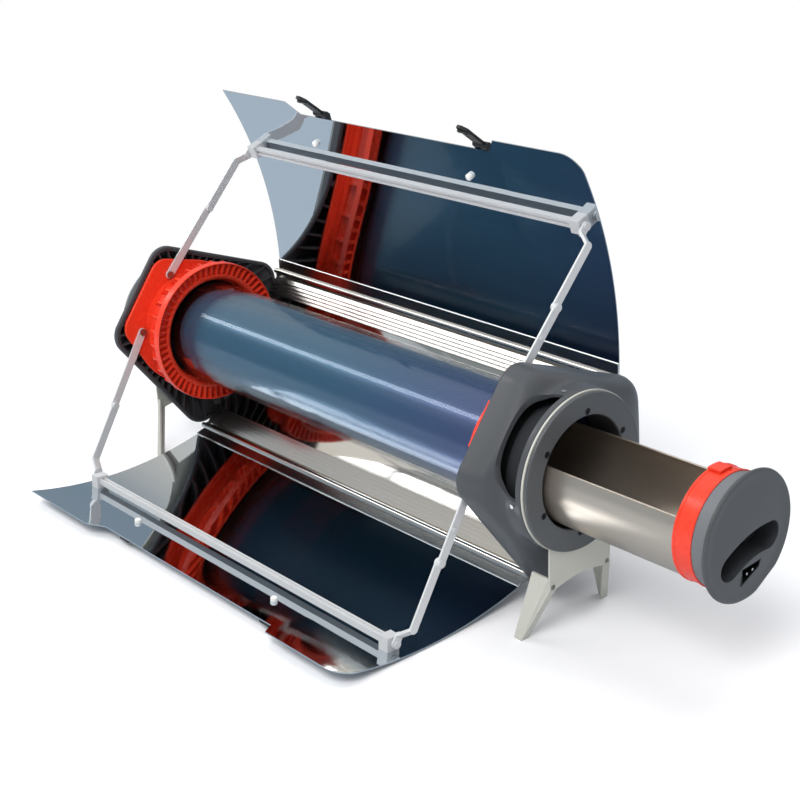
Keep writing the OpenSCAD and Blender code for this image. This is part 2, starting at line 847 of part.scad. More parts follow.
module bumpers() {
  wing_frame() for (share = bumper_shares)
    translate([-wing_near - share*wing_len, bumper_along, mirror_at(bumper_along)])
      rotate([bumper_turn, 0, 0]) {
        cylinder(r = bumper_r, h = bumper_h - over);
        translate([0, 0, bumper_h - over]) cylinder(r1 = bumper_r, r2 = bumper_r - over, h = over);
      }
}
module wing_upper() { color("#c3ccd6") oven() wing(); }
module wing_lower() { color("#c3ccd6") oven() under() wing(); }
module hinge_strip_upper() { color("#d9dadb") oven() hinge_strip(); }
module hinge_strip_lower() { color("#d9dadb") oven() under() hinge_strip(); }
module bar_upper() { color("#cfd2d4") oven() bar_end(); }
module bar_lower() { color("#cfd2d4") oven() under() bar_end(); }
module bar_brackets_upper() { color("#b9bcbe") oven() both_rims() bracket(); }
module bar_brackets_lower() { color("#b9bcbe") oven() under() both_rims() bracket(); }
module bumpers_upper() { color("#f2f2ee") oven() bumpers(); }
module bumpers_lower() { color("#f2f2ee") oven() under() bumpers(); }

// Latches
edge_s = wing_chord - recess_d;
latch_past = 4.5;
latch_s = edge_s + latch_past;
latch_n = -6;
latch_eye_r = 3.2;
latch_pin_r = 1.5;
ear_w = 3;
latch_plate_t = 4.5;
latch_plate_len = 16;
tongue_deg = 180 - open_deg;
keeper_len = 13;
keeper_w = 14;
keeper_t = 3;
lip_h = 3;
tongue_tip = 5;
module at_latch(x) { wing_frame() translate([-wing_near - x, latch_s, latch_n]) children(); }
module latch_bracket(x) {
  wide = tongue_w/2 + body_gap;
  intersection() {
    at_latch(x) {
      for (s = [-1, 1]) translate([s*(wide + ear_w/2) - ear_w/2, -latch_plate_len, -latch_plate_t])
        cube([ear_w, latch_plate_len, latch_plate_t + latch_eye_r]);
      translate([-wide - ear_w, -latch_plate_len - latch_eye_r, -latch_plate_t])
        cube([2*(wide + ear_w), latch_plate_len - latch_eye_r, latch_plate_t]);
    }
    wing_frame() across(-wing_far, -wing_near) difference() {
      translate([half_chord, -plan_depth]) square([half_chord, 2*plan_depth]);
      translate([half_chord, wing_centre]) circle(wing_rad + wing_t + run_fit, $fn = smooth);
    }
  }
  at_latch(x) {
    for (s = [-1, 1]) translate([s*(wide + ear_w/2), 0, 0]) rod(-ear_w/2, ear_w/2, latch_eye_r);
    rod(-wide - ear_w, wide + ear_w, latch_pin_r);
  }
}
module latch_brackets() {
  color("#1c1d1f") oven() { latch_bracket(latch_near_at); latch_bracket(latch_far_at); }
}
module tongue(x) {
  color("#17181a") oven() at_latch(x) rotate([tongue_deg, 0, 0]) difference() {
    union() {
      rod(-tongue_w/2, tongue_w/2, latch_eye_r);
      translate([0, 0, -tongue_t/2]) linear_extrude(tongue_t) {
        translate([-tongue_w/2, 0]) square([tongue_w, tongue_len - tongue_tip]);
        polygon([[-tongue_w/2, tongue_len - tongue_tip], [-tongue_w/2 + tongue_tip/2, tongue_len],
          [tongue_w/2 - tongue_tip, tongue_len], [tongue_w/2, tongue_len - tongue_tip]]);
      }
      translate([-tongue_w/2, tongue_len - tongue_tip - tongue_t, 0]) cube([tongue_w, tongue_t, lip_h]);
    }
    rod(-tongue_w, tongue_w, latch_pin_r + run_fit);
  }
}
module latch_near() { tongue(latch_near_at); }
module latch_far() { tongue(latch_far_at); }
module keeper(x) {
  intersection() {
    wing_frame() translate([-wing_near - x - keeper_w/2, edge_s - keeper_len, latch_n - keeper_t])
      cube([keeper_w, keeper_len, 2*keeper_t + keeper_len]);
    wing_frame() across(-wing_far, -wing_near) difference() {
      translate([half_chord, wing_centre]) circle(wing_rad + wing_t + keeper_t, $fn = smooth);
      translate([half_chord, wing_centre]) circle(wing_rad + wing_t, $fn = smooth);
    }
  }
}
module latch_keepers() {
  color("#1c1d1f") oven() under() { keeper(latch_near_at); keeper(latch_far_at); }
}

// Tray, plug and cap, all drawn level, from the cap's seat
spigot_gap = body_gap;
spigot_r = tray_r - tray_t - spigot_gap;
plug_wall = 3;
ring_in_r = tray_r + body_gap;
tray_end_x = seat_x - plug_len - body_gap;
band_len = spigot_len + body_gap;
tray_far_x = tray_end_x - tray_len;
cap_turn = 12.5;
cap_under_w = 2.5;
cap_under_h = 2;
cap_edge_h = 3;
cap_round = 1.5;
cap_shoulder_h = 4.2;
cap_dome_h = 5.2;
dome_share = 0.7;
crown_share = 0.2;
cap_flat = 53.5;
cap_flat_deg = -60;
kidney_z = -9;
kidney_rad = 70;
kidney_wall = 1.6;
inlet_front = 4.8;
inlet_back = 10;
inlet_wall = 1;
// Places on the cap, as shares of its radius
pin_shares = [[-0.0105, -0.5737], [0.1175, -0.5491]];
inlet_shares = [[-0.1386, -0.4614], [-0.1281, -0.7351], [0.2684, -0.5596], [0.3158, -0.4386]];
pins_at = [for (p = pin_shares) cap_r*p];
inlet_corners = [for (p = inlet_shares) cap_r*p];
lug_w = 15;
lug_len = 13;
lug_out = 1.9;
notch_w = 5;
coil_rad = 30;
coil_r = 3;
coil_deg = 320;
thermostat_up = 20;
hem_r = 1.1;
hem_in = 0.2;
thermostat_r = 8;
thermostat_h = 5;

// The tray rests on the bottom of the coated tube
tray_drop = absorber_r - absorber_wall - tray_r - body_gap;
module seat() { level() translate([seat_x, 0, -tray_drop]) children(); }
grip_span = grip_span_share*2*(plug_r - plug_wall);
module kidney(grow) {
  half = asin(grip_span/2/kidney_rad);
  r = grip_w/2 + grow;
  first = 90 - half;
  last = 90 + half;
  rotate(cap_turn) translate([0, kidney_z - kidney_rad]) polygon(concat(
    arc_points([0, 0], kidney_rad + r, first, last),
    arc_points(kidney_rad*chord_dir(last), r, last, last + 180),
    arc_points([0, 0], kidney_rad - r, last, first),
    arc_points(kidney_rad*chord_dir(first), r, first - 180, first)));
}
module cap_saucer() {
  rotate([0, 90, 0]) rotate_extrude() polygon([[0, 0], [cap_r - cap_under_w, 0], [cap_r, cap_under_h],
    [cap_r, cap_edge_h], [cap_r - cap_round, cap_shoulder_h], [cap_r*dome_share, cap_dome_h],
    [cap_r*crown_share, cap_front_h], [0, cap_front_h]]);
}
module cap() {
  color("#505254") seat() difference() {
    union() {
      cap_saucer();
      across(-grip_depth + cap_front_h - kidney_wall, over) kidney(kidney_wall);
    }
    across(-grip_depth + cap_front_h, cap_front_h + over) kidney(0);
    across(-grip_depth, cap_front_h + over) polygon(inlet_corners);
    rotate([cap_flat_deg, 0, 0]) translate([-over, cap_flat, -cap_r])
      cube([cap_front_h + 2*over, cap_r, 2*cap_r]);
  }
}

module plug() {
  inner_r = spigot_r - plug_wall;
  full_len = plug_len + spigot_len;
  color("#6b6e71") seat() spun() polygon([[plug_r, 0], [plug_r, plug_len], [spigot_r, plug_len],
    [spigot_r, full_len], [0, full_len], [0, full_len - plug_wall], [inner_r, full_len - plug_wall],
    [inner_r, plug_len - plug_wall], [plug_r - plug_wall, plug_len - plug_wall],
    [plug_r - plug_wall, 0]]);
}
module clamp_ring() {
  color("#e8432e") seat() translate([-plug_len, 0, 0]) difference() {
    union() {
      rod(-ring_w, 0, ring_r);
      intersection() {
        translate([-ring_w, -lug_w/2, 0]) cube([lug_len, lug_w, 2*ring_r]);
        rod(-ring_w, 0, ring_r + lug_out);
      }
    }
    rod(-ring_w - over, over, ring_in_r);
    translate([-ring_w - over, -notch_w/2, ring_r]) cube([lug_len/2 + over, notch_w, ring_r]);
  }
}
module inlet_block() {
  color("#101112") seat() difference() {
    across(-inlet_back, inlet_front) polygon(inlet_corners);
    across(inlet_front - inlet_pin_len, inlet_front + over) offset(delta = -inlet_wall)
      polygon(inlet_corners);
  }
}
module inlet_pins() {
  color("silver") seat() for (p = pins_at) translate([0, p[0], p[1]])
    rod(inlet_front - inlet_pin_len, inlet_front, inlet_pin_r);
}
module heater_coil() {
  color("#8a8378") seat() translate([-plug_len - spigot_len - coil_r, 0, 0]) rotate([0, 90, 0])
    rotate_extrude(angle = coil_deg) translate([coil_rad, 0]) circle(coil_r, $fn = fine);
}
module thermostat() {
  floor_x = -plug_len - spigot_len + plug_wall;
  color("#c9c9c2") seat() translate([0, 0, thermostat_up])
    rod(floor_x, floor_x + thermostat_h, thermostat_r);
}
rim_span = rim_left_deg - rim_right_deg;
rim_mid_deg = (rim_left_deg + rim_right_deg)/2;
module trough_shape() {
  bent(tray_r, tray_r - tray_t, rim_left_deg, 360 + rim_right_deg);
  for (a = [rim_left_deg, rim_right_deg]) translate((tray_r - hem_r - hem_in)*chord_dir(a)) circle(hem_r);
}
module tray() {
  color("#b9b4ac") level() translate([0, 0, -tray_drop]) union() {
    tube(tray_end_x - band_len, tray_end_x, tray_r, tray_r - tray_t);
    across(tray_far_x, tray_end_x - band_len) trough_shape();
    across(tray_far_x, tray_far_x + tray_t) difference() {
      circle(tray_r);
      rotate(rim_mid_deg) translate([tray_r*cos(rim_span/2), -tray_r]) square(2*tray_r);
    }
  }
}

stand_near();
stand_far();
stand_rivets();
near_housing();
far_housing();
near_frame();
far_frame();
near_liner();
far_liner();
face_disc();
far_disc();
disc_screws();
grip_screws();
mouth_collar();
far_hub();
tube_seal();
tube_cup();
glass_envelope();
absorber_tube();
tube_clips();
rail_upper();
rail_lower();
back_reflector();
stay_pivots();
wing_upper();
hinge_strip_upper();
bar_upper();
bar_brackets_upper();
bumpers_upper();
latch_brackets();
wing_lower();
hinge_strip_lower();
bar_lower();
bar_brackets_lower();
bumpers_lower();
latch_keepers();
arm_upper_near();
arm_upper_far();
arm_lower_near();
arm_lower_far();
link_upper_near();
link_upper_far();
link_lower_near();
link_lower_far();
latch_near();
latch_far();
cap();
plug();
clamp_ring();
inlet_block();
inlet_pins();
heater_coil();
thermostat();
tray();
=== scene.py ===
# %% [markdown]
# A tabletop solar oven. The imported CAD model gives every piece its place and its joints. This script
# dresses it: it remakes the smooth, shiny pieces whose facets would show, gives every piece a
# material, and sets up the studio and the camera.

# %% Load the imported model
import math

import bmesh
import bpy
import numpy as np
from mathutils import Matrix, Vector


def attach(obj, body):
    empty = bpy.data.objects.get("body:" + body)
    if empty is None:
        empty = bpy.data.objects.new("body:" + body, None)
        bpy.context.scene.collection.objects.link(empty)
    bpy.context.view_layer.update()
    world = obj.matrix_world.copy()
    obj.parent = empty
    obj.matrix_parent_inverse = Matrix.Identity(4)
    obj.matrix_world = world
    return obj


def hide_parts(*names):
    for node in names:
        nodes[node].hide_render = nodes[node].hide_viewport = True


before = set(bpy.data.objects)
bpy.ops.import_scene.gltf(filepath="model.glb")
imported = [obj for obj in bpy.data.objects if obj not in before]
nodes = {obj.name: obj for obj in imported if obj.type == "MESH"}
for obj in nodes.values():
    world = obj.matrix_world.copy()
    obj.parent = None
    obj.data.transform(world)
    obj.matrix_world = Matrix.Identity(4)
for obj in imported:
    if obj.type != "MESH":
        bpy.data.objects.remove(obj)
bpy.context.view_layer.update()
print("CAD nodes:", len(nodes))

# %% [markdown]
# The oven leans back on its stands, so its parts are easiest to describe in the oven's own frame: x
# along the tube from the mouth's face, y away from the sun, z across. The two functions turn such
# a place, in millimetres, into metres in the shared frame. The numbers repeat the CAD source. The
# far end mirrors the near one, so its stations are counted from FAR_PLANE.

# %% Places in the oven's own frame
AXIS_H, AIM = 154, math.radians(36.5)
X_MID, Y_MID = -231.85, -47.8724
TRAY_DROP = 0.9
FAR_PLANE = -677


def oven(x, y, z):
    """A point of the leaning oven, in metres."""
    return Vector((x - X_MID, y * math.cos(AIM) + z * math.sin(AIM) - Y_MID,
                   -y * math.sin(AIM) + z * math.cos(AIM) + AXIS_H)) / 1000


def tray_place(x, y, z):
    """A point of the tray and its cap, which lie level in the tube."""
    return Vector((x - X_MID, y - Y_MID, z + AXIS_H - TRAY_DROP)) / 1000


# %% [markdown]
# Most of the remade pieces are lofts: closed rings of points, joined in order. A turned piece is a
# loft of circles. One function joins the rings, so that every piece is closed the same way. Sheets
# are outlines drawn out straight. An edge sharper than about 30 degrees stays crisp, and everything
# softer is shaded smooth.

# %% Mesh helpers
def finish_mesh(name, bm, material, sharp_deg=32):
    """Turns a bmesh into an object with one material, smooth except at sharp edges."""
    bmesh.ops.remove_doubles(bm, verts=bm.verts, dist=1e-6)
    bmesh.ops.recalc_face_normals(bm, faces=bm.faces)
    mesh = bpy.data.meshes.new(name)
    bm.to_mesh(mesh)
    bm.free()
    mesh.shade_smooth()
    mesh.set_sharp_from_angle(angle=math.radians(sharp_deg))
    mesh.materials.append(material)
    piece = bpy.data.objects.new(name, mesh)
    bpy.context.scene.collection.objects.link(piece)
    print(name, "faces:", len(mesh.polygons))
    return piece


def add_loft(bm, rings, closed=True):
    """Joins rings of equal length with quads. closed joins the last ring to the first."""
    made = [[bm.verts.new(p) for p in ring] for ring in rings]
    pairs = list(zip(made, made[1:])) + ([(made[-1], made[0])] if closed else [])
    for a, b in pairs:
        for i in range(len(a)):
            j = (i + 1) % len(a)
            corners = [a[i], a[j], b[j], b[i]]
            if len({tuple(round(c, 8) for c in v.co) for v in corners}) > 2:
                bm.faces.new(corners)
    return made


def at_angle(radius, degrees, centre=(0, 0)):
    """The point at an angle on a circle."""
    t = math.radians(degrees)
    return centre[0] + radius * math.cos(t), centre[1] + radius * math.sin(t)


def arc(radius, start, stop, steps, centre=(0, 0)):
    """Points of an arc, from one angle to another in degrees."""
    return [at_angle(radius, start + (stop - start) * i / steps, centre) for i in range(steps + 1)]


def bent_sheet(first, second, start, stop, steps, centre=(0, 0)):
    """Outline of a bent sheet: along one radius, and back along the other."""
    return arc(first, start, stop, steps, centre) + arc(second, stop, start, steps, centre)


def turned(name, profile, material, place=oven, count=192, sharp_deg=32):
    """A turned piece: profile is a closed list of (x, radius) in millimetres."""
    bm = bmesh.new()
    add_loft(bm, [[place(x, *p) for p in arc(max(r, 1e-4), 0, 360, count)[:-1]] for x, r in profile])
    return finish_mesh(name, bm, material, sharp_deg)


def add_slab(bm, first, second):
    """A closed slab between two flat outlines of as many points."""
    ends = [[bm.verts.new(p) for p in outline] for outline in (first, second)]
    for i in range(len(first)):
        j = (i + 1) % len(first)
        bm.faces.new([ends[0][i], ends[0][j], ends[1][j], ends[1][i]])
    for end in ends:
        bm.faces.new(end)


def prism(name, outline, x0, x1, material, place):
    """A flat outline of (y, z), drawn out from x0 to x1."""
    bm = bmesh.new()
    add_slab(bm, *([place(x, y, z) for y, z in outline] for x in (x0, x1)))
    return finish_mesh(name, bm, material)


def cut(piece, cutter, kind="DIFFERENCE", sharp_deg=32):
    """Cuts or joins one closed piece with another, and bakes the result into the first."""
    change = piece.modifiers.new(kind.lower(), "BOOLEAN")
    change.operation, change.object, change.solver = kind, cutter, "EXACT"
    bpy.context.view_layer.update()
    evaluated = piece.evaluated_get(bpy.context.evaluated_depsgraph_get())
    mesh = bpy.data.meshes.new_from_object(evaluated)
    piece.modifiers.clear()
    piece.data = mesh
    mesh.shade_smooth()
    mesh.set_sharp_from_angle(angle=math.radians(sharp_deg))
    bpy.data.objects.remove(cutter)


# %% [markdown]
# A material starts from what the real one is. Colours are written as sRGB hex, as a colour picker
# shows them, and one function turns them to the linear values that the shader wants. No surface is
# quite even, so each one gets a noise whose grain has a real size in millimetres.

# %% Material helpers
def colour(hex_code):
    """An sRGB hex colour as linear RGBA."""
    parts = [int(hex_code[i:i + 2], 16) / 255 for i in (0, 2, 4)]
    return (*(c / 12.92 if c <= 0.04045 else ((c + 0.055) / 1.055) ** 2.4 for c in parts), 1)


def add(tree, kind, inputs=None, **settings):
    """Adds a node. inputs gives a socket to link or a plain value, settings the node's own choices."""
    made = tree.nodes.new(kind)
    for key, value in settings.items():
        setattr(made, key, value)
    for key, value in (inputs or {}).items():
        if isinstance(value, bpy.types.NodeSocket):
            tree.links.new(value, made.inputs[key])
        else:
            made.inputs[key].default_value = value
    return made


def shader(name, base, roughness, metallic=0.0):
    """A Principled material of one even colour."""
    material = bpy.data.materials.new(name)
    material.use_nodes = True
    bsdf = material.node_tree.nodes["Principled BSDF"]
    bsdf.inputs["Base Color"].default_value = colour(base)
    bsdf.inputs["Roughness"].default_value = roughness
    bsdf.inputs["Metallic"].default_value = metallic
    return material


def grain(material, size_mm, height, stretch=(1, 1, 1), detail=3, rough=None, tint=None):
    """Noise with grains of a real size. It moves the bump, and can move roughness and tint."""
    tree = material.node_tree
    bsdf = tree.nodes["Principled BSDF"]
    where = add(tree, "ShaderNodeTexCoord")
    scaled = add(tree, "ShaderNodeMapping", {"Vector": where.outputs["Object"],
                                             "Scale": [1000 / size_mm / s for s in stretch]})
    noise = add(tree, "ShaderNodeTexNoise", {"Vector": scaled.outputs[0], "Scale": 1.0,
                                             "Detail": detail})
    amount = noise.outputs["Fac"]
    if height:
        bump = add(tree, "ShaderNodeBump", {"Height": amount, "Strength": height,
                                            "Distance": size_mm / 4000})
        tree.links.new(bump.outputs[0], bsdf.inputs["Normal"])
    if rough:
        spread = add(tree, "ShaderNodeMapRange", {"Value": amount, "To Min": rough[0],
                                                  "To Max": rough[1]})
        tree.links.new(spread.outputs[0], bsdf.inputs["Roughness"])
    if tint:
        mixed = add(tree, "ShaderNodeMix", {"Factor": amount, 6: colour(tint[0]), 7: colour(tint[1])},
                    data_type="RGBA")
        tree.links.new(mixed.outputs[2], bsdf.inputs["Base Color"])


# %% [markdown]
# The plastics. The housings are moulded ABS with a fine spark-eroded texture, which softens the
# highlight. The red liners are the same plastic left glossy from a polished mould. Glass-filled nylon
# is duller, acetal slightly waxy, and rubber almost matt. Real mould texture is a tenth of a
# millimetre, too fine to show, so it is drawn 0.7 to 0.9 mm coarse.

# %% Plastics and rubber
moulded_grey = shader("Moulded ABS, dark grey", "46484b", 0.32)
grain(moulded_grey, 0.8, 0.06, rough=(0.27, 0.38), tint=("434548", "4a4c4f"))
disc_grey = shader("Moulded ABS, disc", "515355", 0.34)
grain(disc_grey, 0.7, 0.06, rough=(0.3, 0.4), tint=("4e5052", "555759"))
gloss_red = shader("Polished ABS, signal red", "e23a22", 0.26)
grain(gloss_red, 9, 0.02, rough=(0.22, 0.32), tint=("dd351e", "e74027"))
# This black also paints the shade inside the cap's finger pocket.
black_nylon_and_shade = shader("Glass-filled nylon, black, and painted pocket shade", "35373a", 0.42)
grain(black_nylon_and_shade, 0.9, 0.08, rough=(0.36, 0.48), tint=("313336", "3a3c3f"))
latch_black = shader("Acetal, black", "1a1b1d", 0.34)
grain(latch_black, 0.8, 0.08, rough=(0.3, 0.4))
seal_rubber = shader("Silicone rubber, black", "141516", 0.7)
grain(seal_rubber, 0.5, 0.2, rough=(0.6, 0.78))
bumper_white = shader("Soft PVC, white", "f0f0ec", 0.5)
grain(bumper_white, 0.6, 0.08, rough=(0.45, 0.55))
cap_grey = shader("Moulded ABS, cap", "4a4c4e", 0.3)
grain(cap_grey, 0.7, 0.06, rough=(0.26, 0.36), tint=("47494b", "4e5052"))
plug_grey = shader("Glass-filled nylon, grey", "6b6e71", 0.45)
grain(plug_grey, 0.9, 0.1, rough=(0.4, 0.52))
inlet_black = shader("Polished nylon, black", "101112", 0.22)
grain(inlet_black, 2, 0.03, rough=(0.2, 0.28))

# %% [markdown]
# The metals. Rolled and drawn metal carries faint lines along one direction, so its noise is
# stretched 12 to 80 times along the tube. The wings are bright-anodised mirror sheet: the lines only
# just blur what they reflect. Powder coat on the stands has a fine orange peel.

# %% Metals
wing_mirror = shader("Anodised mirror aluminium", "d3dae0", 0.03, 1.0)
grain(wing_mirror, 30, 0.01, stretch=(12, 1, 1), rough=(0.02, 0.05), tint=("cfd7de", "d8dee3"))
back_mirror = shader("Bright rolled aluminium", "e9e3da", 0.07, 1.0)
grain(back_mirror, 12, 0.0, stretch=(30, 1, 1), rough=(0.05, 0.1))
rail_aluminium = shader("Extruded aluminium", "e2dfda", 0.2, 1.0)
grain(rail_aluminium, 0.6, 0.02, stretch=(80, 1, 1), rough=(0.14, 0.24), tint=("d9d6d1", "ebe8e4"))
stay_aluminium = shader("Tumbled aluminium strip", "d4d5d5", 0.45, 0.25)
grain(stay_aluminium, 0.6, 0.06, rough=(0.38, 0.52), tint=("ccced0", "dcdddd"))
powder_coat = shader("Powder-coated steel, stone grey", "b7b7ae", 0.42)
grain(powder_coat, 0.8, 0.1, detail=1, rough=(0.38, 0.48), tint=("b2b2a9", "bcbcb3"))
rivet_steel = shader("Zinc-plated rivet steel", "9b9b94", 0.35, 1.0)
grain(rivet_steel, 0.5, 0.08, rough=(0.3, 0.45))
# The screw heads' near black is painted shade of their counterbores, not a blackened steel.
screw_painted_shade = shader("Screw steel, painted counterbore shade", "17181a", 0.4, 0.4)
grain(screw_painted_shade, 0.4, 0.08, rough=(0.3, 0.45))
screw_bright = shader("Nickel-plated steel", "d6d6d2", 0.15, 1.0)
grain(screw_bright, 0.5, 0.04, rough=(0.1, 0.22))
tray_steel = shader("Brushed stainless steel", "d8cabb", 0.3, 0.9)
grain(tray_steel, 0.5, 0.05, stretch=(40, 1, 1), rough=(0.26, 0.36), tint=("d2c4b4", "dfd2c4"))
coil_steel = shader("Heat-tinted steel sheath", "8a8378", 0.38, 1.0)
grain(coil_steel, 2, 0.05, rough=(0.3, 0.45), tint=("7d7468", "968f85"))

# %% [markdown]
# The tube. Its outer glass is clear borosilicate, too thin to bend what is seen through it. A glass
# shader bends light at each wall and turns so thin a shell dark, so this is a mirror that is
# see-through except at grazing angles, as thin glass is. The inner glass carries a coating that
# drinks in sunlight, deep blue and half a mirror. It turns to violet at the mouth, where the coating
# is a little thicker, so its colour is mixed by the distance along the tube.

# %% Glass and coating
GLASS_ALPHA, GLASS_EDGE_POWER = (0.02, 0.6), 4.5
clear_glass = shader("Borosilicate glass", "f4f8fb", 0.02, 1.0)
tree = clear_glass.node_tree
edge = add(tree, "ShaderNodeLayerWeight", {"Blend": 0.5})
rise = add(tree, "ShaderNodeMath", {0: edge.outputs["Facing"], 1: GLASS_EDGE_POWER}, operation="POWER")
amount = add(tree, "ShaderNodeMapRange", {"Value": rise.outputs[0], "To Min": GLASS_ALPHA[0],
                                          "To Max": GLASS_ALPHA[1]})
tree.links.new(amount.outputs[0], tree.nodes["Principled BSDF"].inputs["Alpha"])

BLUE, VIOLET, VIOLET_FROM, VIOLET_TO = "345c76", "414d78", -0.12, 0.22
tube_coating = shader("Sputtered selective coating", BLUE, 0.24, 0.5)
tree = tube_coating.node_tree
where = add(tree, "ShaderNodeTexCoord")
split = add(tree, "ShaderNodeSeparateXYZ", {"Vector": where.outputs["Object"]})
along = add(tree, "ShaderNodeMapRange", {"Value": split.outputs["X"], "From Min": VIOLET_FROM,
                                         "From Max": VIOLET_TO}, interpolation_type="SMOOTHSTEP")
drift = add(tree, "ShaderNodeMix", {"Factor": along.outputs[0], 6: colour(BLUE), 7: colour(VIOLET)},
            data_type="RGBA")
tree.links.new(drift.outputs[2], tree.nodes["Principled BSDF"].inputs["Base Color"])
grain(tube_coating, 60, 0.0, stretch=(10, 1, 1), detail=1, rough=(0.22, 0.28))
print("Materials:", len(bpy.data.materials))

# %% [markdown]
# Most nodes keep the CAD's own mesh and only need a finish. A table names it once for each kind of
# piece, so near and far or upper and lower ones share a line, and a function finds that line.

# %% Give every CAD node its material
finish_of = {
    "stand": powder_coat, "stand_rivets": rivet_steel, "housing": moulded_grey, "frame": black_nylon_and_shade,
    "liner": gloss_red, "disc": disc_grey, "disc_screws": screw_painted_shade, "grip_screws": screw_bright,
    "mouth_collar": black_nylon_and_shade, "far_hub": black_nylon_and_shade, "tube_seal": seal_rubber,
    "tube_cup": seal_rubber, "glass_envelope": clear_glass, "absorber_tube": tube_coating,
    "tube_clips": screw_bright, "rail": rail_aluminium, "hinge_strip": rail_aluminium,
    "back_reflector": back_mirror, "wing": wing_mirror, "arm": stay_aluminium,
    "link": stay_aluminium, "bar": stay_aluminium, "bar_brackets": stay_aluminium,
    "stay_pivots": rivet_steel, "bumpers": bumper_white, "latch": latch_black, "cap": cap_grey,
    "plug": plug_grey, "clamp_ring": gloss_red, "inlet_block": inlet_black,
    "inlet_pins": screw_bright, "heater_coil": coil_steel, "thermostat": screw_bright,
    "tray": tray_steel,
}


def finish_for(name):
    """The material of a node: by its whole name, or by a kind that its name holds."""
    if name in finish_of:
        return finish_of[name]
    kinds = [k for k in finish_of if name.startswith(k + "_") or name.endswith("_" + k)]
    return finish_of[max(kinds, key=len)]


for name, piece in nodes.items():
    piece.data.materials.clear()
    piece.data.materials.append(finish_for(name))
print("Finishes in use:", len({finish_for(name) for name in nodes}))

# %% [markdown]
# The evacuated tube is two glass tubes joined at the lip, each with a round closed end. Both are
# turned: the profile runs along the outside to the dome and back along the inside.

# %% Tube
GLASS_R, GLASS_WALL, COATED_R, COATED_WALL = 56, 2, 51.5, 1.8
LIP_X, LIP_T, GLASS_DOME_X, COATED_DOME_X = -37, 3, -552, -540.5
DOME_STEPS, SMOOTH = 24, 256


def dome_tube(start, far, outer, wall):
    """The profile of a tube with one round end, from its open end round and back."""
    dome = bent_sheet(outer, outer - wall, 90, 180, DOME_STEPS, (far, 0))
    return [(start, outer), *dome, (start, outer - wall)]


lip_bore = COATED_R - COATED_WALL
glass_profile = [(LIP_X, lip_bore), (LIP_X, GLASS_R - 1), (LIP_X - 1, GLASS_R)]
glass_profile += dome_tube(LIP_X - 2, GLASS_DOME_X, GLASS_R, GLASS_WALL)[1:-1]
glass_profile += [(LIP_X - LIP_T, GLASS_R - GLASS_WALL), (LIP_X - LIP_T, lip_bore)]
glass = turned("glass_tube", glass_profile, clear_glass, count=SMOOTH)
coated = turned("coated_tube", dome_tube(LIP_X - LIP_T, COATED_DOME_X, COATED_R, COATED_WALL),
                tube_coating, count=SMOOTH)
for piece, node in ((glass, "glass_envelope"), (coated, "absorber_tube")):
    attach(piece, "oven")
    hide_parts(node)

# %% [markdown]
# The housings are lofts of two outlines: the body outline, which wraps six corner circles, and
# the round drum. Both are measured from the axis, so that they can be blended. Each circle is given
# by the place of its centre and its radius.

# %% Outlines about the axis
RING, FINE_TURNS = 256, 1440
CORNERS = [(-60, 42, 24), (68, 78, 26), (96, 40, 30)]
corner_circles = [(y, s * z, r) for y, z, r in CORNERS for s in (-1, 1)]
LOBES = [(-58, -32, 20), (-58, 32, 20), (0, 0, 72)]


def wrapped(circles, count=RING):
    """Distance from the axis to the outline wrapped round some circles, at each angle."""
    turns = np.linspace(0, 2 * math.pi, FINE_TURNS, endpoint=False)
    reach = np.max([y * np.cos(turns) + z * np.sin(turns) + r for y, z, r in circles], axis=0)
    angles = [2 * math.pi * i / count for i in range(count)]
    out = []
    for a in angles:
        facing = np.cos(turns - a)
        ahead = facing > 1e-3
        out.append(float(np.min(reach[ahead] / facing[ahead])))
    return np.array(out)


def radial_ring(place, x, radii):
    """A ring whose distance from the axis changes with the angle."""
    step = 2 * math.pi / len(radii)
    return [place(x, r * math.cos(i * step), r * math.sin(i * step)) for i, r in enumerate(radii)]


body_outline = wrapped(corner_circles)
flange_outline = wrapped(LOBES)
print("Housing reach, mm:", round(body_outline.max(), 1))

# %% [markdown]
# The near housing changes from the body outline at its rim to the round drum in front. A modelled
# fillet would follow one radius only, but a moulded shoulder swells. So a table says how much of the
# outline is left at each station: a drafted band, a round shoulder, a flat face and a small cove.

# %% Near housing
WALL, WALL_FRONT, DRUM_R, DRUM_LEN, BORE_R = 3, 5.6, 75, 24, 60.2
RIM_X = 62
OUTLINE_LEFT = [(58, 1), (54, 1), (50, 0.975), (46, 0.94), (42, 0.885), (39, 0.83), (36.5, 0.765),
                (34.5, 0.69), (32.8, 0.6), (31.3, 0.5), (30, 0.395), (28.8, 0.29), (27.7, 0.2),
                (26.7, 0.13), (25.6, 0.075), (24.4, 0.03), (23, 0.008), (21.5, 0)]


def even(radius):
    """A round ring, as an outline with the same radius at every angle."""
    return np.full(RING, radius)


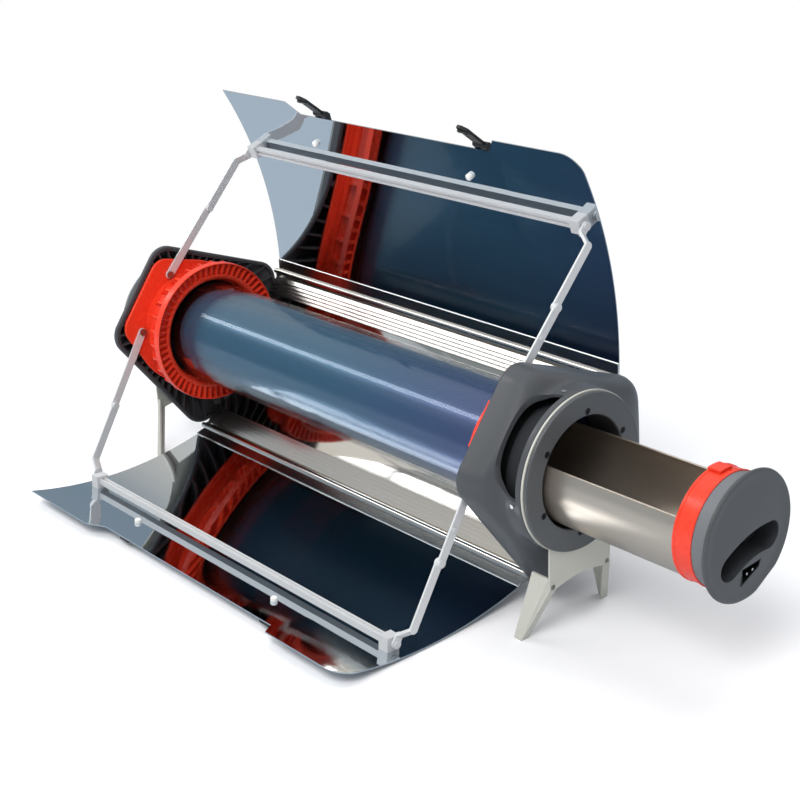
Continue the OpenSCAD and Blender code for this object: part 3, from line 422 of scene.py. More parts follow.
def housing_rings(edge):
    """Outside of the near housing from the rim to the disc, then its inside back to the rim."""
    round_over = [(RIM_X, edge - 2.2), (RIM_X - 0.6, edge - 1.0), (RIM_X - 1.8, edge - 0.3),
                  (RIM_X - 3.4, edge)]
    band = [(x, DRUM_R + (edge - DRUM_R) * share) for x, share in OUTLINE_LEFT]
    drum = [(x, even(r)) for x, r in (
        (DRUM_LEN - 8, DRUM_R), (WALL_FRONT + 2, DRUM_R), (WALL_FRONT + 0.6, DRUM_R - 0.6),
        (WALL_FRONT, DRUM_R - 2), (WALL_FRONT, BORE_R), (WALL_FRONT + WALL, BORE_R),
        (WALL_FRONT + WALL, DRUM_R - WALL), (DRUM_LEN + 2, DRUM_R - WALL))]
    inner = [(x + WALL, DRUM_R - WALL + (edge - DRUM_R) * share)
             for x, share in reversed(OUTLINE_LEFT[1:-2:2])]
    return round_over + band + drum + inner + [(RIM_X, edge - WALL)]


bm = bmesh.new()
add_loft(bm, [radial_ring(oven, -x, radii) for x, radii in housing_rings(body_outline)])
near_shell = finish_mesh("near_housing_shell", bm, moulded_grey, 38)

# %% [markdown]
# Fingers reach through a crescent slot in the drum to tilt the oven. Its cutter is a closed loft round
# the axis, widest in the middle and narrow at both ends, and a boolean takes it out of the shell.

# %% Finger slot
GRIP_HALF, GRIP_FRONT, GRIP_W, GRIP_R = 42, 11, 21, 64
GRIP_END_W, GRIP_STEPS, OUTSIDE_R = 3, 48, 150
bm = bmesh.new()
slot_rings = []
for share in np.linspace(-1, 1, GRIP_STEPS + 1):
    t = math.radians(180 + GRIP_HALF * share)
    width = GRIP_END_W + (GRIP_W - GRIP_END_W) * math.sqrt(1 - min(abs(share), 1) ** 3)
    slot_rings.append([oven(-GRIP_FRONT - dx, r * math.cos(t), r * math.sin(t)) for dx, r in (
        (0, GRIP_R), (0, OUTSIDE_R), (width, OUTSIDE_R), (width, GRIP_R))])
made = add_loft(bm, slot_rings, closed=False)
bm.faces.new(made[0])
bm.faces.new(made[-1])
cutter = finish_mesh("grip_cutter", bm, moulded_grey)
cut(near_shell, cutter, sharp_deg=38)
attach(near_shell, "oven")
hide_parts("near_housing")

# %% [markdown]
# The far housing is a shallow dish of the same outline: a rim bead, then a wall that slopes to the
# round back. Ten rings bend the slope a little, so that it reads as a moulded wall.

# %% Far housing
FAR_X, FAR_DEPTH, FAR_RIM_W, FAR_BACK_R, SLOPE_RINGS = -640, 25, 4, 77.5, 10
far_rings = [(FAR_DEPTH, body_outline - 1.2), (FAR_DEPTH - 0.6, body_outline - 0.3),
             (FAR_DEPTH - 1.4, body_outline), (FAR_DEPTH - FAR_RIM_W + 0.6, body_outline),
             (FAR_DEPTH - FAR_RIM_W - 0.8, body_outline - 2.6)]
bead_x, bead_edge = far_rings[-1]
for i in range(1, SLOPE_RINGS + 1):
    t = i / SLOPE_RINGS
    far_rings.append((bead_x + (WALL_FRONT + 1.4 - bead_x) * t,
                      FAR_BACK_R - 1 + (bead_edge - FAR_BACK_R + 1) * (1 - t) ** 0.9))
far_rings += [(WALL_FRONT, even(FAR_BACK_R - 3)), (WALL_FRONT, even(BORE_R)),
              (WALL_FRONT + WALL, even(BORE_R)), (WALL_FRONT + WALL, even(FAR_BACK_R - 6)),
              (FAR_DEPTH - FAR_RIM_W + 0.5, body_outline - WALL - 2.4),
              (FAR_DEPTH, body_outline - WALL)]
bm = bmesh.new()
add_loft(bm, [radial_ring(oven, FAR_X + x, radii) for x, radii in far_rings])
far_shell = finish_mesh("far_housing_shell", bm, moulded_grey, 38)
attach(far_shell, "oven")
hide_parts("far_housing")

# %% [markdown]
# Black ribs fill the far housing's open rim, from a ring at the bearing out to the wall. The wall's
# distance changes round the housing, so each rib gets its own length. They are webs between the
# frame's face and the housing's inside.

# %% Far frame
FRAME_RING_R, FRAME_RING_W, FRAME_RIB_T, FRAME_FACE, FRAME_RIBS, FRAME_WALL = 65, 3, 1.7, 62.9, 48, 2
FRAME_BAND, FRAME_BEND, FRAME_FLOOR, FLOOR_R = -4.6, -10, -15.6, FAR_BACK_R - 7
frame_front = FAR_PLANE + FRAME_FACE
frame_edge = body_outline - WALL - 0.3
frame_bend = 0.55 * frame_edge + 0.45 * FLOOR_R


def frame_ring(dx, radii):
    """A ring of the far frame, dx from its front."""
    return radial_ring(oven, frame_front + dx, radii)


frame_steps = [(0, frame_edge), (FRAME_BAND, frame_edge), (FRAME_BEND, frame_bend),
               (FRAME_FLOOR, even(FLOOR_R))]
under = [frame_ring(dx, radii + 0.2) for dx, radii in frame_steps[-2::-1]]
bm = bmesh.new()
add_loft(bm, [
    *(frame_ring(dx, radii - FRAME_WALL) for dx, radii in frame_steps[:2]),
    *(frame_ring(dx, radii) for dx, radii in frame_steps[2:]),
    frame_ring(FRAME_FLOOR, even(FRAME_RING_R)), frame_ring(0, even(FRAME_RING_R)),
    frame_ring(0, even(FRAME_RING_R - FRAME_RING_W)),
    frame_ring(FRAME_FLOOR - 0.6, even(FRAME_RING_R - FRAME_RING_W)),
    frame_ring(FRAME_FLOOR - 0.6, even(FLOOR_R + 0.2)), *under])
for k in range(FRAME_RIBS):
    turn = 2 * math.pi * (k + 0.5) / FRAME_RIBS
    i = int(round(turn / (2 * math.pi) * RING)) % RING
    web = [(0, FRAME_RING_R - 0.5), (0, frame_edge[i] - 1), (FRAME_BAND, frame_edge[i] - 1),
           (FRAME_BEND, frame_bend[i]), (FRAME_FLOOR + 0.2, FLOOR_R),
           (FRAME_FLOOR - 0.2, FRAME_RING_R - 0.5)]
    lean = (-math.sin(turn) * FRAME_RIB_T / 2, math.cos(turn) * FRAME_RIB_T / 2)
    add_slab(bm, *([oven(frame_front - 0.4 + dx, r * math.cos(turn) + side * lean[0],
                         r * math.sin(turn) + side * lean[1]) for dx, r in web] for side in (-1, 1)))
far_ribs = finish_mesh("far_frame_ribs", bm, black_nylon_and_shade, 38)
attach(far_ribs, "oven")
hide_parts("far_frame")

# %% [markdown]
# The face discs are turned plates. The near one has the mouth, with a small chamfer that catches
# the light. Its screws sit flush in counterbores with a cross recess.

# %% Face discs
DISC_R, DISC_T, MOUTH_R = 73.3, 3, 52.5
disc_rim = [(0.15, DISC_R - 2.6), (0, DISC_R - 2.2), (0, DISC_R - 1.0), (0.25, DISC_R - 0.3),
            (0.8, DISC_R), (DISC_T, DISC_R)]
near_disc = turned("near_disc_plate", [
    (-0.15, MOUTH_R + 0.8), *((-depth, r) for depth, r in disc_rim), (-DISC_T, MOUTH_R),
    (-0.9, MOUTH_R)], disc_grey, count=SMOOTH, sharp_deg=50)
far_plate = turned("far_disc_plate", [
    (FAR_X + 0.15, 0), *((FAR_X + depth, r) for depth, r in disc_rim), (FAR_X + DISC_T, 0)],
    disc_grey, count=SMOOTH, sharp_deg=50)
for piece, node in ((near_disc, "face_disc"), (far_plate, "far_disc")):
    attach(piece, "oven")
    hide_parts(node)

# %% [markdown]
# What repeats round the axis is made once and set out by Geometry Nodes: a circle of points, the
# piece placed on each point, and the copies made real so that they can be exported.

# %% Geometry Nodes: copies round the axis
def ring_tree():
    """A node tree with named inputs: the piece, how many, how far out, and the first angle."""
    tree = bpy.data.node_groups.new("Set out round an axis", "GeometryNodeTree")
    face = tree.interface
    face.new_socket("Geometry", in_out="OUTPUT", socket_type="NodeSocketGeometry")
    for label, kind in (("Piece", "NodeSocketObject"), ("Count", "NodeSocketInt"),
                        ("Radius", "NodeSocketFloat"), ("First angle", "NodeSocketFloat"),
                        ("Finish", "NodeSocketMaterial")):
        face.new_socket(label, in_out="INPUT", socket_type=kind)
    given = add(tree, "NodeGroupInput")
    ring = add(tree, "GeometryNodeMeshCircle", {"Vertices": given.outputs["Count"],
                                                "Radius": given.outputs["Radius"]})
    index = add(tree, "GeometryNodeInputIndex")
    share = add(tree, "ShaderNodeMath", {0: index.outputs[0], 1: given.outputs["Count"]},
                operation="DIVIDE")
    angle = add(tree, "ShaderNodeMath", {0: share.outputs[0], 1: 2 * math.pi}, operation="MULTIPLY")
    turn = add(tree, "ShaderNodeCombineXYZ", {"Z": angle.outputs[0]})
    source = add(tree, "GeometryNodeObjectInfo", {"Object": given.outputs["Piece"]})
    copies = add(tree, "GeometryNodeInstanceOnPoints", {
        "Points": ring.outputs["Mesh"], "Instance": source.outputs["Geometry"],
        "Rotation": turn.outputs[0]})
    first = add(tree, "ShaderNodeCombineXYZ", {"Z": given.outputs["First angle"]})
    turned_all = add(tree, "GeometryNodeTransform", {"Geometry": copies.outputs[0],
                                                     "Rotation": first.outputs[0]})
    real = add(tree, "GeometryNodeRealizeInstances", {"Geometry": turned_all.outputs[0]})
    done = add(tree, "GeometryNodeSetMaterial", {"Geometry": real.outputs[0],
                                                 "Material": given.outputs["Finish"]})
    add(tree, "NodeGroupOutput", {"Geometry": done.outputs[0]})
    return tree


RING_TREE = ring_tree()


def set_round(name, source, count, radius, first_deg, finish, x, place=oven):
    """Copies of source round the axis at station x, baked to one plain mesh in the oven's frame."""
    holder = bpy.data.objects.new(name, bpy.data.meshes.new(name))
    bpy.context.scene.collection.objects.link(holder)
    change = holder.modifiers.new("ring", "NODES")
    change.node_group = RING_TREE
    values = {"Piece": source, "Count": count, "Radius": radius,
              "First angle": math.radians(first_deg), "Finish": finish}
    for item in RING_TREE.interface.items_tree:
        if item.in_out == "INPUT":
            change[item.identifier] = values[item.name]
    bpy.context.view_layer.update()
    evaluated = holder.evaluated_get(bpy.context.evaluated_depsgraph_get())
    mesh = bpy.data.meshes.new_from_object(evaluated)
    holder.modifiers.clear()
    holder.data = mesh
    # The tree works in millimetres about its own z. Here z becomes the tube's axis.
    for v in mesh.vertices:
        v.co = place(x + v.co.z, v.co.x, v.co.y)
    bm = bmesh.new()
    bm.from_mesh(mesh)
    bmesh.ops.recalc_face_normals(bm, faces=bm.faces)
    bm.to_mesh(mesh)
    bm.free()
    mesh.set_sharp_from_angle(angle=math.radians(35))
    print(name, "copies:", count)
    return holder


def small_turned(name, profile, count=24, cross=None):
    """A small turned piece about its own z. cross is a recess's half width and depth."""
    bm = bmesh.new()
    add_loft(bm, [[(*p, z) for p in arc(r, 0, 360, count)[:-1]] for z, r in profile], closed=False)
    bmesh.ops.remove_doubles(bm, verts=bm.verts, dist=1e-3)
    if cross:
        half_width, depth = cross
        for v in bm.verts:
            on_arm = min(abs(v.co.x), abs(v.co.y)) < half_width
            if on_arm and v.co.length < profile[0][1] and v.co.z > profile[-1][0] - 0.2:
                v.co.z -= depth
    mesh = bpy.data.meshes.new(name)
    bm.to_mesh(mesh)
    bm.free()
    mesh.shade_smooth()
    source = bpy.data.objects.new(name, mesh)
    bpy.context.scene.collection.objects.link(source)
    return source


# %% [markdown]
# A screw shows as a head with a cross recess, sunk in a hole of the disc, and the head is painted
# near black as the shade of its counterbore. The head's top is a fine grid of rings, and the points
# near the two arms of the cross are pushed down. The holes are set out by the same tree and cut from
# the disc in one go.

# %% Disc screws
HOLE_R, HEAD_R, HEAD_SUNK, SCREWS, SCREW_RING_R, SCREW_FIRST = 3.4, 2.9, -0.6, 6, 56.4, 122.6
head_profile = [(-1.4, HEAD_R), (-0.75, HEAD_R), (HEAD_SUNK, HEAD_R - 0.2)]
head_profile += [(HEAD_SUNK, HEAD_R * k) for k in (0.8, 0.7, 0.6, 0.5, 0.4, 0.3, 0.2, 0.1, 0.0001)]
hole = small_turned("screw_hole", [(-1.3, 0.0001), (-1.3, HOLE_R), (1, HOLE_R), (1, 0.0001)])
head = small_turned("screw_head", head_profile, cross=(0.4, 0.5))


def far_side(x, y, z):
    """A place measured outwards from the far disc."""
    return oven(2 * FAR_X - x, y, z)


screw_heads = {}
for end, plate, station, place in (("near", near_disc, 0, oven), ("far", far_plate, FAR_X, far_side)):
    # The heads' near-black material is painted shade of their counterbores.
    layout = (SCREWS, SCREW_RING_R, SCREW_FIRST, screw_painted_shade, station, place)
    cut(plate, set_round("screw_holes", hole, *layout), sharp_deg=15)
    screw_heads[end] = set_round(f"disc_screw_heads_{end}", head, *layout)
    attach(screw_heads[end], "oven")
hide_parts("disc_screws")
for source in (head, hole):
    bpy.data.objects.remove(source)

# %% [markdown]
# The far liner is a red bell. Sixty slots run round its face and sixty small ones line its
# throat. The face is built as a grid round the axis: where a slot comes, the grid's cells are sunk,
# which makes clean slots without cutting. The flange behind it wraps three circles.

# %% Far liner
BELL_X = FAR_PLANE + 65.9
GLASS_BORE, THROAT_R, BELL_R, BELL_H = 57.3, 60.4, 79, 55.1
SLOTS, SLOT_DEPTH, NECK_R, FACE_R = 60, 8.2, 62.8, 62
SLOT_TURNS = (0, 0.12, 0.2, 0.21, 0.79, 0.8, 0.88, 0.94)
SLOT_FIRST, SLOT_LAST = 2, 5


def bell_profile():
    """(height, radius, slotted) from the throat, over the face and rim, to the flange."""
    throat = [(30, GLASS_BORE, 0), (BELL_H - 17, GLASS_BORE, 0), (BELL_H - 16.6, GLASS_BORE + 0.1, 1),
              (BELL_H - 8.6, GLASS_BORE + 1.2, 1), (BELL_H - 8.2, GLASS_BORE + 1.4, 0)]
    plain = [(BELL_H - 7, GLASS_BORE + 2, 0), (BELL_H - 5.2, GLASS_BORE + 3.2, 0),
             (BELL_H - 4.6, 61.6, 0), (BELL_H - 4.0, 62.8, 0), (BELL_H - 3.7, 64, 0),
             (BELL_H - 3.6, 65.2, 0)]
    toothed = [(BELL_H - 3.5, 65.5, 1), (BELL_H - 0.9, 77.2, 1)]
    rim = [(BELL_H - 0.7, 77.4, 0), (BELL_H - 0.2, 77.7, 0), (BELL_H, 78.2, 0),
           (BELL_H - 0.3, 78.8, 0), (BELL_H - 1.1, BELL_R, 0)]
    neck = [(46.5, BELL_R, 0), (46.5, NECK_R + 0.6, 0), (46.0, NECK_R, 0), (16, NECK_R, 0),
            (15, NECK_R + 1.9, 0), (8, THROAT_R + 0.1, 0), (0.2, THROAT_R, 0), (0, GLASS_BORE, 0)]
    return throat + plain + toothed + rim + neck


rings = []
for height, radius, slotted in bell_profile():
    ring = []
    for i in range(SLOTS * len(SLOT_TURNS)):
        slot, step = divmod(i, len(SLOT_TURNS))
        t = 2 * math.pi * (SLOT_TURNS[step] + slot) / SLOTS
        h, r = height, radius
        if slotted and SLOT_FIRST <= step <= SLOT_LAST:
            h, r = (BELL_H - SLOT_DEPTH, radius) if radius > FACE_R else (height, THROAT_R)
        ring.append(oven(BELL_X + h, r * math.cos(t), r * math.sin(t)))
    rings.append(ring)
bm = bmesh.new()
add_loft(bm, rings)
bell = finish_mesh("far_liner_bell", bm, gloss_red, 40)

FLANGE_T = 3
flange_x = BELL_X - FLANGE_T
bm = bmesh.new()
add_loft(bm, [radial_ring(oven, x, radii) for x, radii in (
    (flange_x, even(GLASS_BORE)), (flange_x, flange_outline), (flange_x + 2.4, flange_outline),
    (flange_x + FLANGE_T, flange_outline - 0.6), (flange_x + FLANGE_T, even(GLASS_BORE)))])
far_flange = finish_mesh("far_liner_flange", bm, gloss_red, 40)
for piece in (bell, far_flange):
    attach(piece, "oven")
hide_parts("far_liner")

# %% [markdown]
# Thirty red ribs part the pockets round the bell's neck. Each is a flat web between the neck and the
# rim's underside. They are mostly seen in the wings' mirrors, and Geometry Nodes set them out.

# %% Ribs round the bell
BELL_RIBS, RIB_T, RIB_IN = 30, 2, 62.5
rib_side = [(RIB_IN, 14.5), (64.6, 14.8), (BELL_R - 0.2, 38), (BELL_R - 0.2, 46.8), (RIB_IN, 46.8)]
bm = bmesh.new()
add_slab(bm, *([(r - RIB_IN, side * RIB_T / 2, h) for r, h in rib_side] for side in (-1, 1)))
rib_mesh = bpy.data.meshes.new("bell_rib")
bm.to_mesh(rib_mesh)
bm.free()
rib = bpy.data.objects.new("bell_rib", rib_mesh)
bpy.context.scene.collection.objects.link(rib)
ribs = set_round("far_liner_ribs", rib, BELL_RIBS, RIB_IN, 0, gloss_red, BELL_X)
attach(ribs, "oven")
bpy.data.objects.remove(rib)

# %% [markdown]
# The back reflector is one bent sheet. It is made as an arc of points with a wall, drawn along the
# tube, and shaded smooth so that its reflections run unbroken.

# %% Back reflector
BACK_R, BACK_T, RAIL_FRONT, RAIL_LOW, INNER_X, BACK_STEPS = 111.8, 0.8, 88, 75, 62.9, 120
back_half = math.degrees(math.asin((RAIL_LOW - 0.3) / BACK_R))
back_centre = RAIL_FRONT - at_angle(BACK_R, back_half)[0]
section = bent_sheet(BACK_R, BACK_R + BACK_T, -back_half, back_half, BACK_STEPS, (back_centre, 0))
sheet = prism("back_sheet", section, -INNER_X, FAR_PLANE + INNER_X, back_mirror, oven)
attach(sheet, "oven")
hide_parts("back_reflector")

# %% [markdown]
# A wing is a sheet bent to one radius, with a recess in its free edge and one rounded corner. It is
# a grid: each column runs from the hinge to the free edge at that place, and the grid's second
# layer lies one sheet thickness behind.

# %% Wings
HINGE_Y, HINGE_Z, OPEN = 83.5, 102.4, math.radians(142)
CHORD, WING_R, WING_T, WING_START, WING_ROWS = 233, 420, 1, 6, 64
NEAR_X, WING_LEN = -72, 533
RECESS_D, RECESS_NEAR, RECESS_FAR, STEP_NEAR, STEP_FAR, CORNER_R = 14, 116, 402, 11, 17, 21
wing_centre = math.sqrt(WING_R ** 2 - (CHORD / 2) ** 2)


def wing_place(side, x, s, n):
    """A point of a wing: s along its chord from the hinge, n towards the tube."""
    y = HINGE_Y + s * math.cos(OPEN) - n * math.sin(OPEN)
    z = HINGE_Z + s * math.sin(OPEN) + n * math.cos(OPEN)
    return oven(x, y, side * z)


def free_edge(d):
    """Length of the wing's column at distance d from its near end."""
    if d < CORNER_R:
        return CHORD - CORNER_R + math.sqrt(max(CORNER_R ** 2 - (CORNER_R - d) ** 2, 0))
    places = [0, RECESS_NEAR - STEP_NEAR, RECESS_NEAR, RECESS_FAR, RECESS_FAR + STEP_FAR, WING_LEN]
    lengths = [CHORD, CHORD, CHORD - RECESS_D, CHORD - RECESS_D, CHORD, CHORD]
    return float(np.interp(d, places, lengths))


def wing_sheet(name, side):
    """Both faces of a wing, joined round the edges."""
    corner = [CORNER_R * (1 - math.cos(math.radians(a))) for a in range(0, 91, 6)]
    columns = corner + [40, 70, RECESS_NEAR - STEP_NEAR, RECESS_NEAR, 160, 220, 280, 340, RECESS_FAR,
                        RECESS_FAR + STEP_FAR, 450, 490, WING_LEN]
    bm = bmesh.new()
    faces = []
    for radius in (WING_R, WING_R + WING_T):
        grid = []
        for d in columns:
            column = []
            for j in range(WING_ROWS + 1):
                s = WING_START + (free_edge(d) - WING_START) * j / WING_ROWS
                lean = math.asin((s - CHORD / 2) / WING_R)
                column.append(bm.verts.new(wing_place(
                    side, NEAR_X - d, CHORD / 2 + radius * math.sin(lean),
                    wing_centre - radius * math.cos(lean))))
            grid.append(column)
        faces.append(grid)
        for a, b in zip(grid, grid[1:]):
            for j in range(WING_ROWS):
                bm.faces.new([a[j], a[j + 1], b[j + 1], b[j]])
    inner, outer = faces
    for a, b, c, d in zip(inner, inner[1:], outer, outer[1:]):
        bm.faces.new([a[0], b[0], d[0], c[0]])
        bm.faces.new([a[-1], b[-1], d[-1], c[-1]])
    for end in (0, -1):
        for j in range(WING_ROWS):
            bm.faces.new([inner[end][j], inner[end][j + 1], outer[end][j + 1], outer[end][j]])
    return finish_mesh(name, bm, wing_mirror, 40)


for name, side in (("upper", 1), ("lower", -1)):
    wing = wing_sheet(f"{name}_wing_sheet", side)
    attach(wing, f"{name}_wing")
    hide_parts(f"wing_{name}")

# %% [markdown]
# The tray is a trough of thin steel with a rolled hem along each rim, a full band at the cap's end
# and a flat end plate. Each is an outline drawn out along the tray.

# %% Tray
TRAY_R, TRAY_T, HEM_R, HEM_SIDES = 48.5, 0.8, 1.1, 16
TRAY_FAR, TRAY_END, BAND = -361.3, 155.7, 16
RIM_LEFT, RIM_RIGHT, TRAY_STEPS = 156, 388, 160
trough_outline = bent_sheet(TRAY_R, TRAY_R - TRAY_T, RIM_LEFT, RIM_RIGHT, TRAY_STEPS)
trough = prism("tray_trough_sheet", trough_outline, TRAY_FAR, TRAY_END - BAND + 0.5, tray_steel,
               tray_place)
end_outline = arc(TRAY_R - 0.1, RIM_LEFT, RIM_RIGHT, TRAY_STEPS)
end_plate = prism("tray_end_plate", end_outline, TRAY_FAR, TRAY_FAR + TRAY_T, tray_steel, tray_place)
band = turned("tray_band", [
    (TRAY_END, TRAY_R - 0.2), (TRAY_END - 0.3, TRAY_R), (TRAY_END - BAND, TRAY_R),
    (TRAY_END - BAND, TRAY_R - TRAY_T), (TRAY_END, TRAY_R - TRAY_T)], tray_steel, tray_place)
hems = []
for label, degrees in (("left", RIM_LEFT), ("right", RIM_RIGHT)):
    middle = at_angle(TRAY_R - HEM_R - 0.2, degrees)
    outline = arc(HEM_R, 0, 360, HEM_SIDES, middle)[:-1]
    hems.append(prism(f"tray_hem_{label}", outline, TRAY_FAR, TRAY_END - BAND, tray_steel, tray_place))
for piece in (trough, end_plate, band, *hems):
    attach(piece, "tray_trough")
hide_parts("tray")

# %% [markdown]
# The cap is a shallow turned saucer, a little dished near its edge. A kidney-shaped pocket for two
# fingers and the inlet's opening are cut from it. The pocket's wall is joined first, so that it has a
# floor.

# %% Cap
SEAT_X, CAP_R, CAP_H = 170.5, 57, 5.8
POCKET_Z, POCKET_BEND, POCKET_HALF, POCKET_R = -9, 70, 26, 12.3
POCKET_WALL, POCKET_TURN, POCKET_DEPTH, POCKET_STEPS = 1.6, 12.5, 22, 24
pocket_half = math.degrees(math.asin(POCKET_HALF / POCKET_BEND))


def seat_place(x, y, z):
    """A point of the cap, its plug or its ring, with x from the cap's seat."""
    return tray_place(SEAT_X + x, y, z)


def rotated(points, degrees):
    """Points (y, z) turned about the axis."""
    t = math.radians(degrees)
    return [(y * math.cos(t) - z * math.sin(t), y * math.sin(t) + z * math.cos(t)) for y, z in points]


def pocket_outline(grow):
    """Outline of the finger pocket: two arcs closed by round ends, turned a little on the cap."""
    r, left, right = POCKET_R + grow, 90 + pocket_half, 90 - pocket_half
    points = arc(POCKET_BEND + r, right, left, POCKET_STEPS)
    points += arc(r, left, left + 180, POCKET_STEPS, at_angle(POCKET_BEND, left))[1:]
    points += arc(POCKET_BEND - r, left, right, POCKET_STEPS)[1:]
    points += arc(r, right - 180, right, POCKET_STEPS, at_angle(POCKET_BEND, right))[1:-1]
    return rotated([(y, z + POCKET_Z - POCKET_BEND) for y, z in points], POCKET_TURN)


saucer = [(0, 0), (0, CAP_R - 2.5), (0.5, CAP_R - 1.6), (1.2, CAP_R - 0.6), (2.0, CAP_R - 0.05),
          (2.6, CAP_R), (3.3, CAP_R - 0.2), (4.0, CAP_R - 0.8), (4.4, CAP_R - 1.6), (4.5, CAP_R - 2.6),
          (4.4, CAP_R - 4), (4.05, CAP_R - 6.5), (3.85, CAP_R - 9), (3.95, CAP_R - 13),
          (4.4, CAP_R * 0.66), (4.9, CAP_R * 0.54), (5.3, CAP_R * 0.42), (5.6, CAP_R * 0.3),
          (5.75, CAP_R * 0.15), (CAP_H, 0)]
cap = turned("cap_saucer", saucer, cap_grey, seat_place, sharp_deg=40)
pocket_wall = prism("pocket_wall", pocket_outline(POCKET_WALL), CAP_H - POCKET_DEPTH - POCKET_WALL, 2,
                    cap_grey, seat_place)
cut(cap, pocket_wall, "UNION", sharp_deg=40)
inlet_outline = [(CAP_R * y, CAP_R * z) for y, z in (
    (-0.1386, -0.4614), (-0.1281, -0.7351), (0.2684, -0.5596), (0.3158, -0.4386))]
FLAT_AT, FLAT_TURN, BEYOND, BEHIND, IN_FRONT = 53.5, -60, 60, -3, 9
flat_outline = rotated([(FLAT_AT, -BEYOND), (BEYOND, -BEYOND), (BEYOND, BEYOND), (FLAT_AT, BEYOND)],
                       FLAT_TURN)
for outline, start in ((pocket_outline(0), CAP_H - POCKET_DEPTH), (inlet_outline, BEHIND),
                       (flat_outline, BEHIND)):
    cut(cap, prism("cap_cutter", outline, start, IN_FRONT, cap_grey, seat_place), sharp_deg=40)

# %% [markdown]
# The pocket's inside is painted black as the shade of the deep pocket. The cap gets a second material,
# and the faces that lie behind its front and inside the pocket's outline change to it.

# %% Painted shade inside the pocket
SHADE_PAINT_BEHIND = 3.2
shade_paint_outline = pocket_outline(0.4)


def inside(y, z, outline):
    """True if a point lies within a closed outline."""
    odd = False
    for (ya, za), (yb, zb) in zip(outline, outline[1:] + outline[:1]):
        if (za > z) != (zb > z) and y < (yb - ya) * (z - za) / (zb - za) + ya:
            odd = not odd
    return odd


# The black on the pocket's faces is painted shade, not a black lining.
cap.data.materials.clear()
cap.data.materials.append(cap_grey)
cap.data.materials.append(black_nylon_and_shade)
for face in cap.data.polygons:
    x = face.center.x * 1000 + X_MID - SEAT_X
    y, z = face.center.y * 1000 + Y_MID, face.center.z * 1000 - AXIS_H + TRAY_DROP
    face.material_index = 1 if x < SHADE_PAINT_BEHIND and inside(y, z, shade_paint_outline) else 0
print("Black faces:", sum(face.material_index for face in cap.data.polygons))
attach(cap, "tray_plug")
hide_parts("cap")

# %% [markdown]
# The plug behind the cap is a hollow turned piece with a narrower spigot. The red clamp ring is a
# turned band with a wide groove, and a lug with the band's own curve stands on it.

# %% Plug and clamp ring
PLUG_R, PLUG_LEN, SPIGOT_LEN, PLUG_WALL, SPIGOT_R = 49.3, 14.5, 17.5, 3, 47.4
full = PLUG_LEN + SPIGOT_LEN
plug = turned("plug_body", [
    (-0.02, PLUG_R - 0.6), (-0.6, PLUG_R), (-PLUG_LEN, PLUG_R), (-PLUG_LEN, SPIGOT_R),
    (-full + 0.8, SPIGOT_R), (-full, SPIGOT_R - 0.8), (-full, 0), (-full + PLUG_WALL, 0),
    (-full + PLUG_WALL, SPIGOT_R - PLUG_WALL), (-PLUG_LEN + PLUG_WALL, SPIGOT_R - PLUG_WALL),
    (-PLUG_LEN + PLUG_WALL, PLUG_R - PLUG_WALL), (-0.02, PLUG_R - PLUG_WALL)], plug_grey, seat_place)

RING_W, RING_R, RING_IN, GROOVE = 19, 50.3, 48.8, 0.7
ring_far = -PLUG_LEN - RING_W
clamp_ring = turned("clamp_ring_band", [
    (-PLUG_LEN - 0.05, RING_R - 0.3), (-PLUG_LEN - 0.4, RING_R), (-PLUG_LEN - 2.2, RING_R),
    (-PLUG_LEN - 2.8, RING_R - GROOVE), (ring_far + 2.8, RING_R - GROOVE), (ring_far + 2.2, RING_R),
    (ring_far + 0.4, RING_R), (ring_far, RING_R - 0.4), (ring_far, RING_IN),
    (-PLUG_LEN - 0.05, RING_IN)], gloss_red, seat_place, SMOOTH)

LUG_W, LUG_LEN, LUG_OUT, LUG_STEPS = 15, 13, 1.9, 12
lug_half = math.degrees(LUG_W / 2 / RING_R)
lug_outline = bent_sheet(RING_R + LUG_OUT, RING_R - 0.3, 90 - lug_half, 90 + lug_half, LUG_STEPS)
lug = prism("clamp_ring_lug", lug_outline, ring_far + 0.2, ring_far + LUG_LEN, gloss_red, seat_place)
for piece in (plug, clamp_ring, lug):
    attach(piece, "tray_plug")
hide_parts("plug")
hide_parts("clamp_ring")

# %% [markdown]
# The studio is a white room. The world is pure white to the camera and dimmer as a light, so that
# colours render about as they are written. In reflections it runs from grey-blue below to cream and
# white above, because a mirror that sees only white looks like paper.

# %% World
scene = bpy.context.scene
scene.view_settings.view_transform = "Standard"
ROOM = ((0.3, "8796a2"), (0.5, "d3cfc8"))
world = bpy.data.worlds.new("Studio")
scene.world = world
world.use_nodes = True
tree = world.node_tree
tree.nodes.clear()
rays = add(tree, "ShaderNodeLightPath")
seen = add(tree, "ShaderNodeMath", {0: rays.outputs["Is Camera Ray"],
                                    1: rays.outputs["Is Transmission Ray"]}, operation="MAXIMUM")
ambient = add(tree, "ShaderNodeBackground", {"Color": colour("eef1f6"), "Strength": 0.6})
backdrop = add(tree, "ShaderNodeBackground", {"Color": (1, 1, 1, 1), "Strength": 1.0})
where = add(tree, "ShaderNodeTexCoord")
split = add(tree, "ShaderNodeSeparateXYZ", {"Vector": where.outputs["Generated"]})
room = add(tree, "ShaderNodeValToRGB", {"Fac": split.outputs["Z"]})
low, high = room.color_ramp.elements
low.position, low.color = 0.0, colour("8b99a4")
high.position, high.color = 0.8, colour("dfe3e6")
for height, tone in ROOM:
    room.color_ramp.elements.new(height).color = colour(tone)
mirrored = add(tree, "ShaderNodeBackground", {"Color": room.outputs[0], "Strength": 1.0})
shiny = add(tree, "ShaderNodeMixShader", {0: rays.outputs["Is Glossy Ray"], 1: ambient.outputs[0],
                                          2: mirrored.outputs[0]})
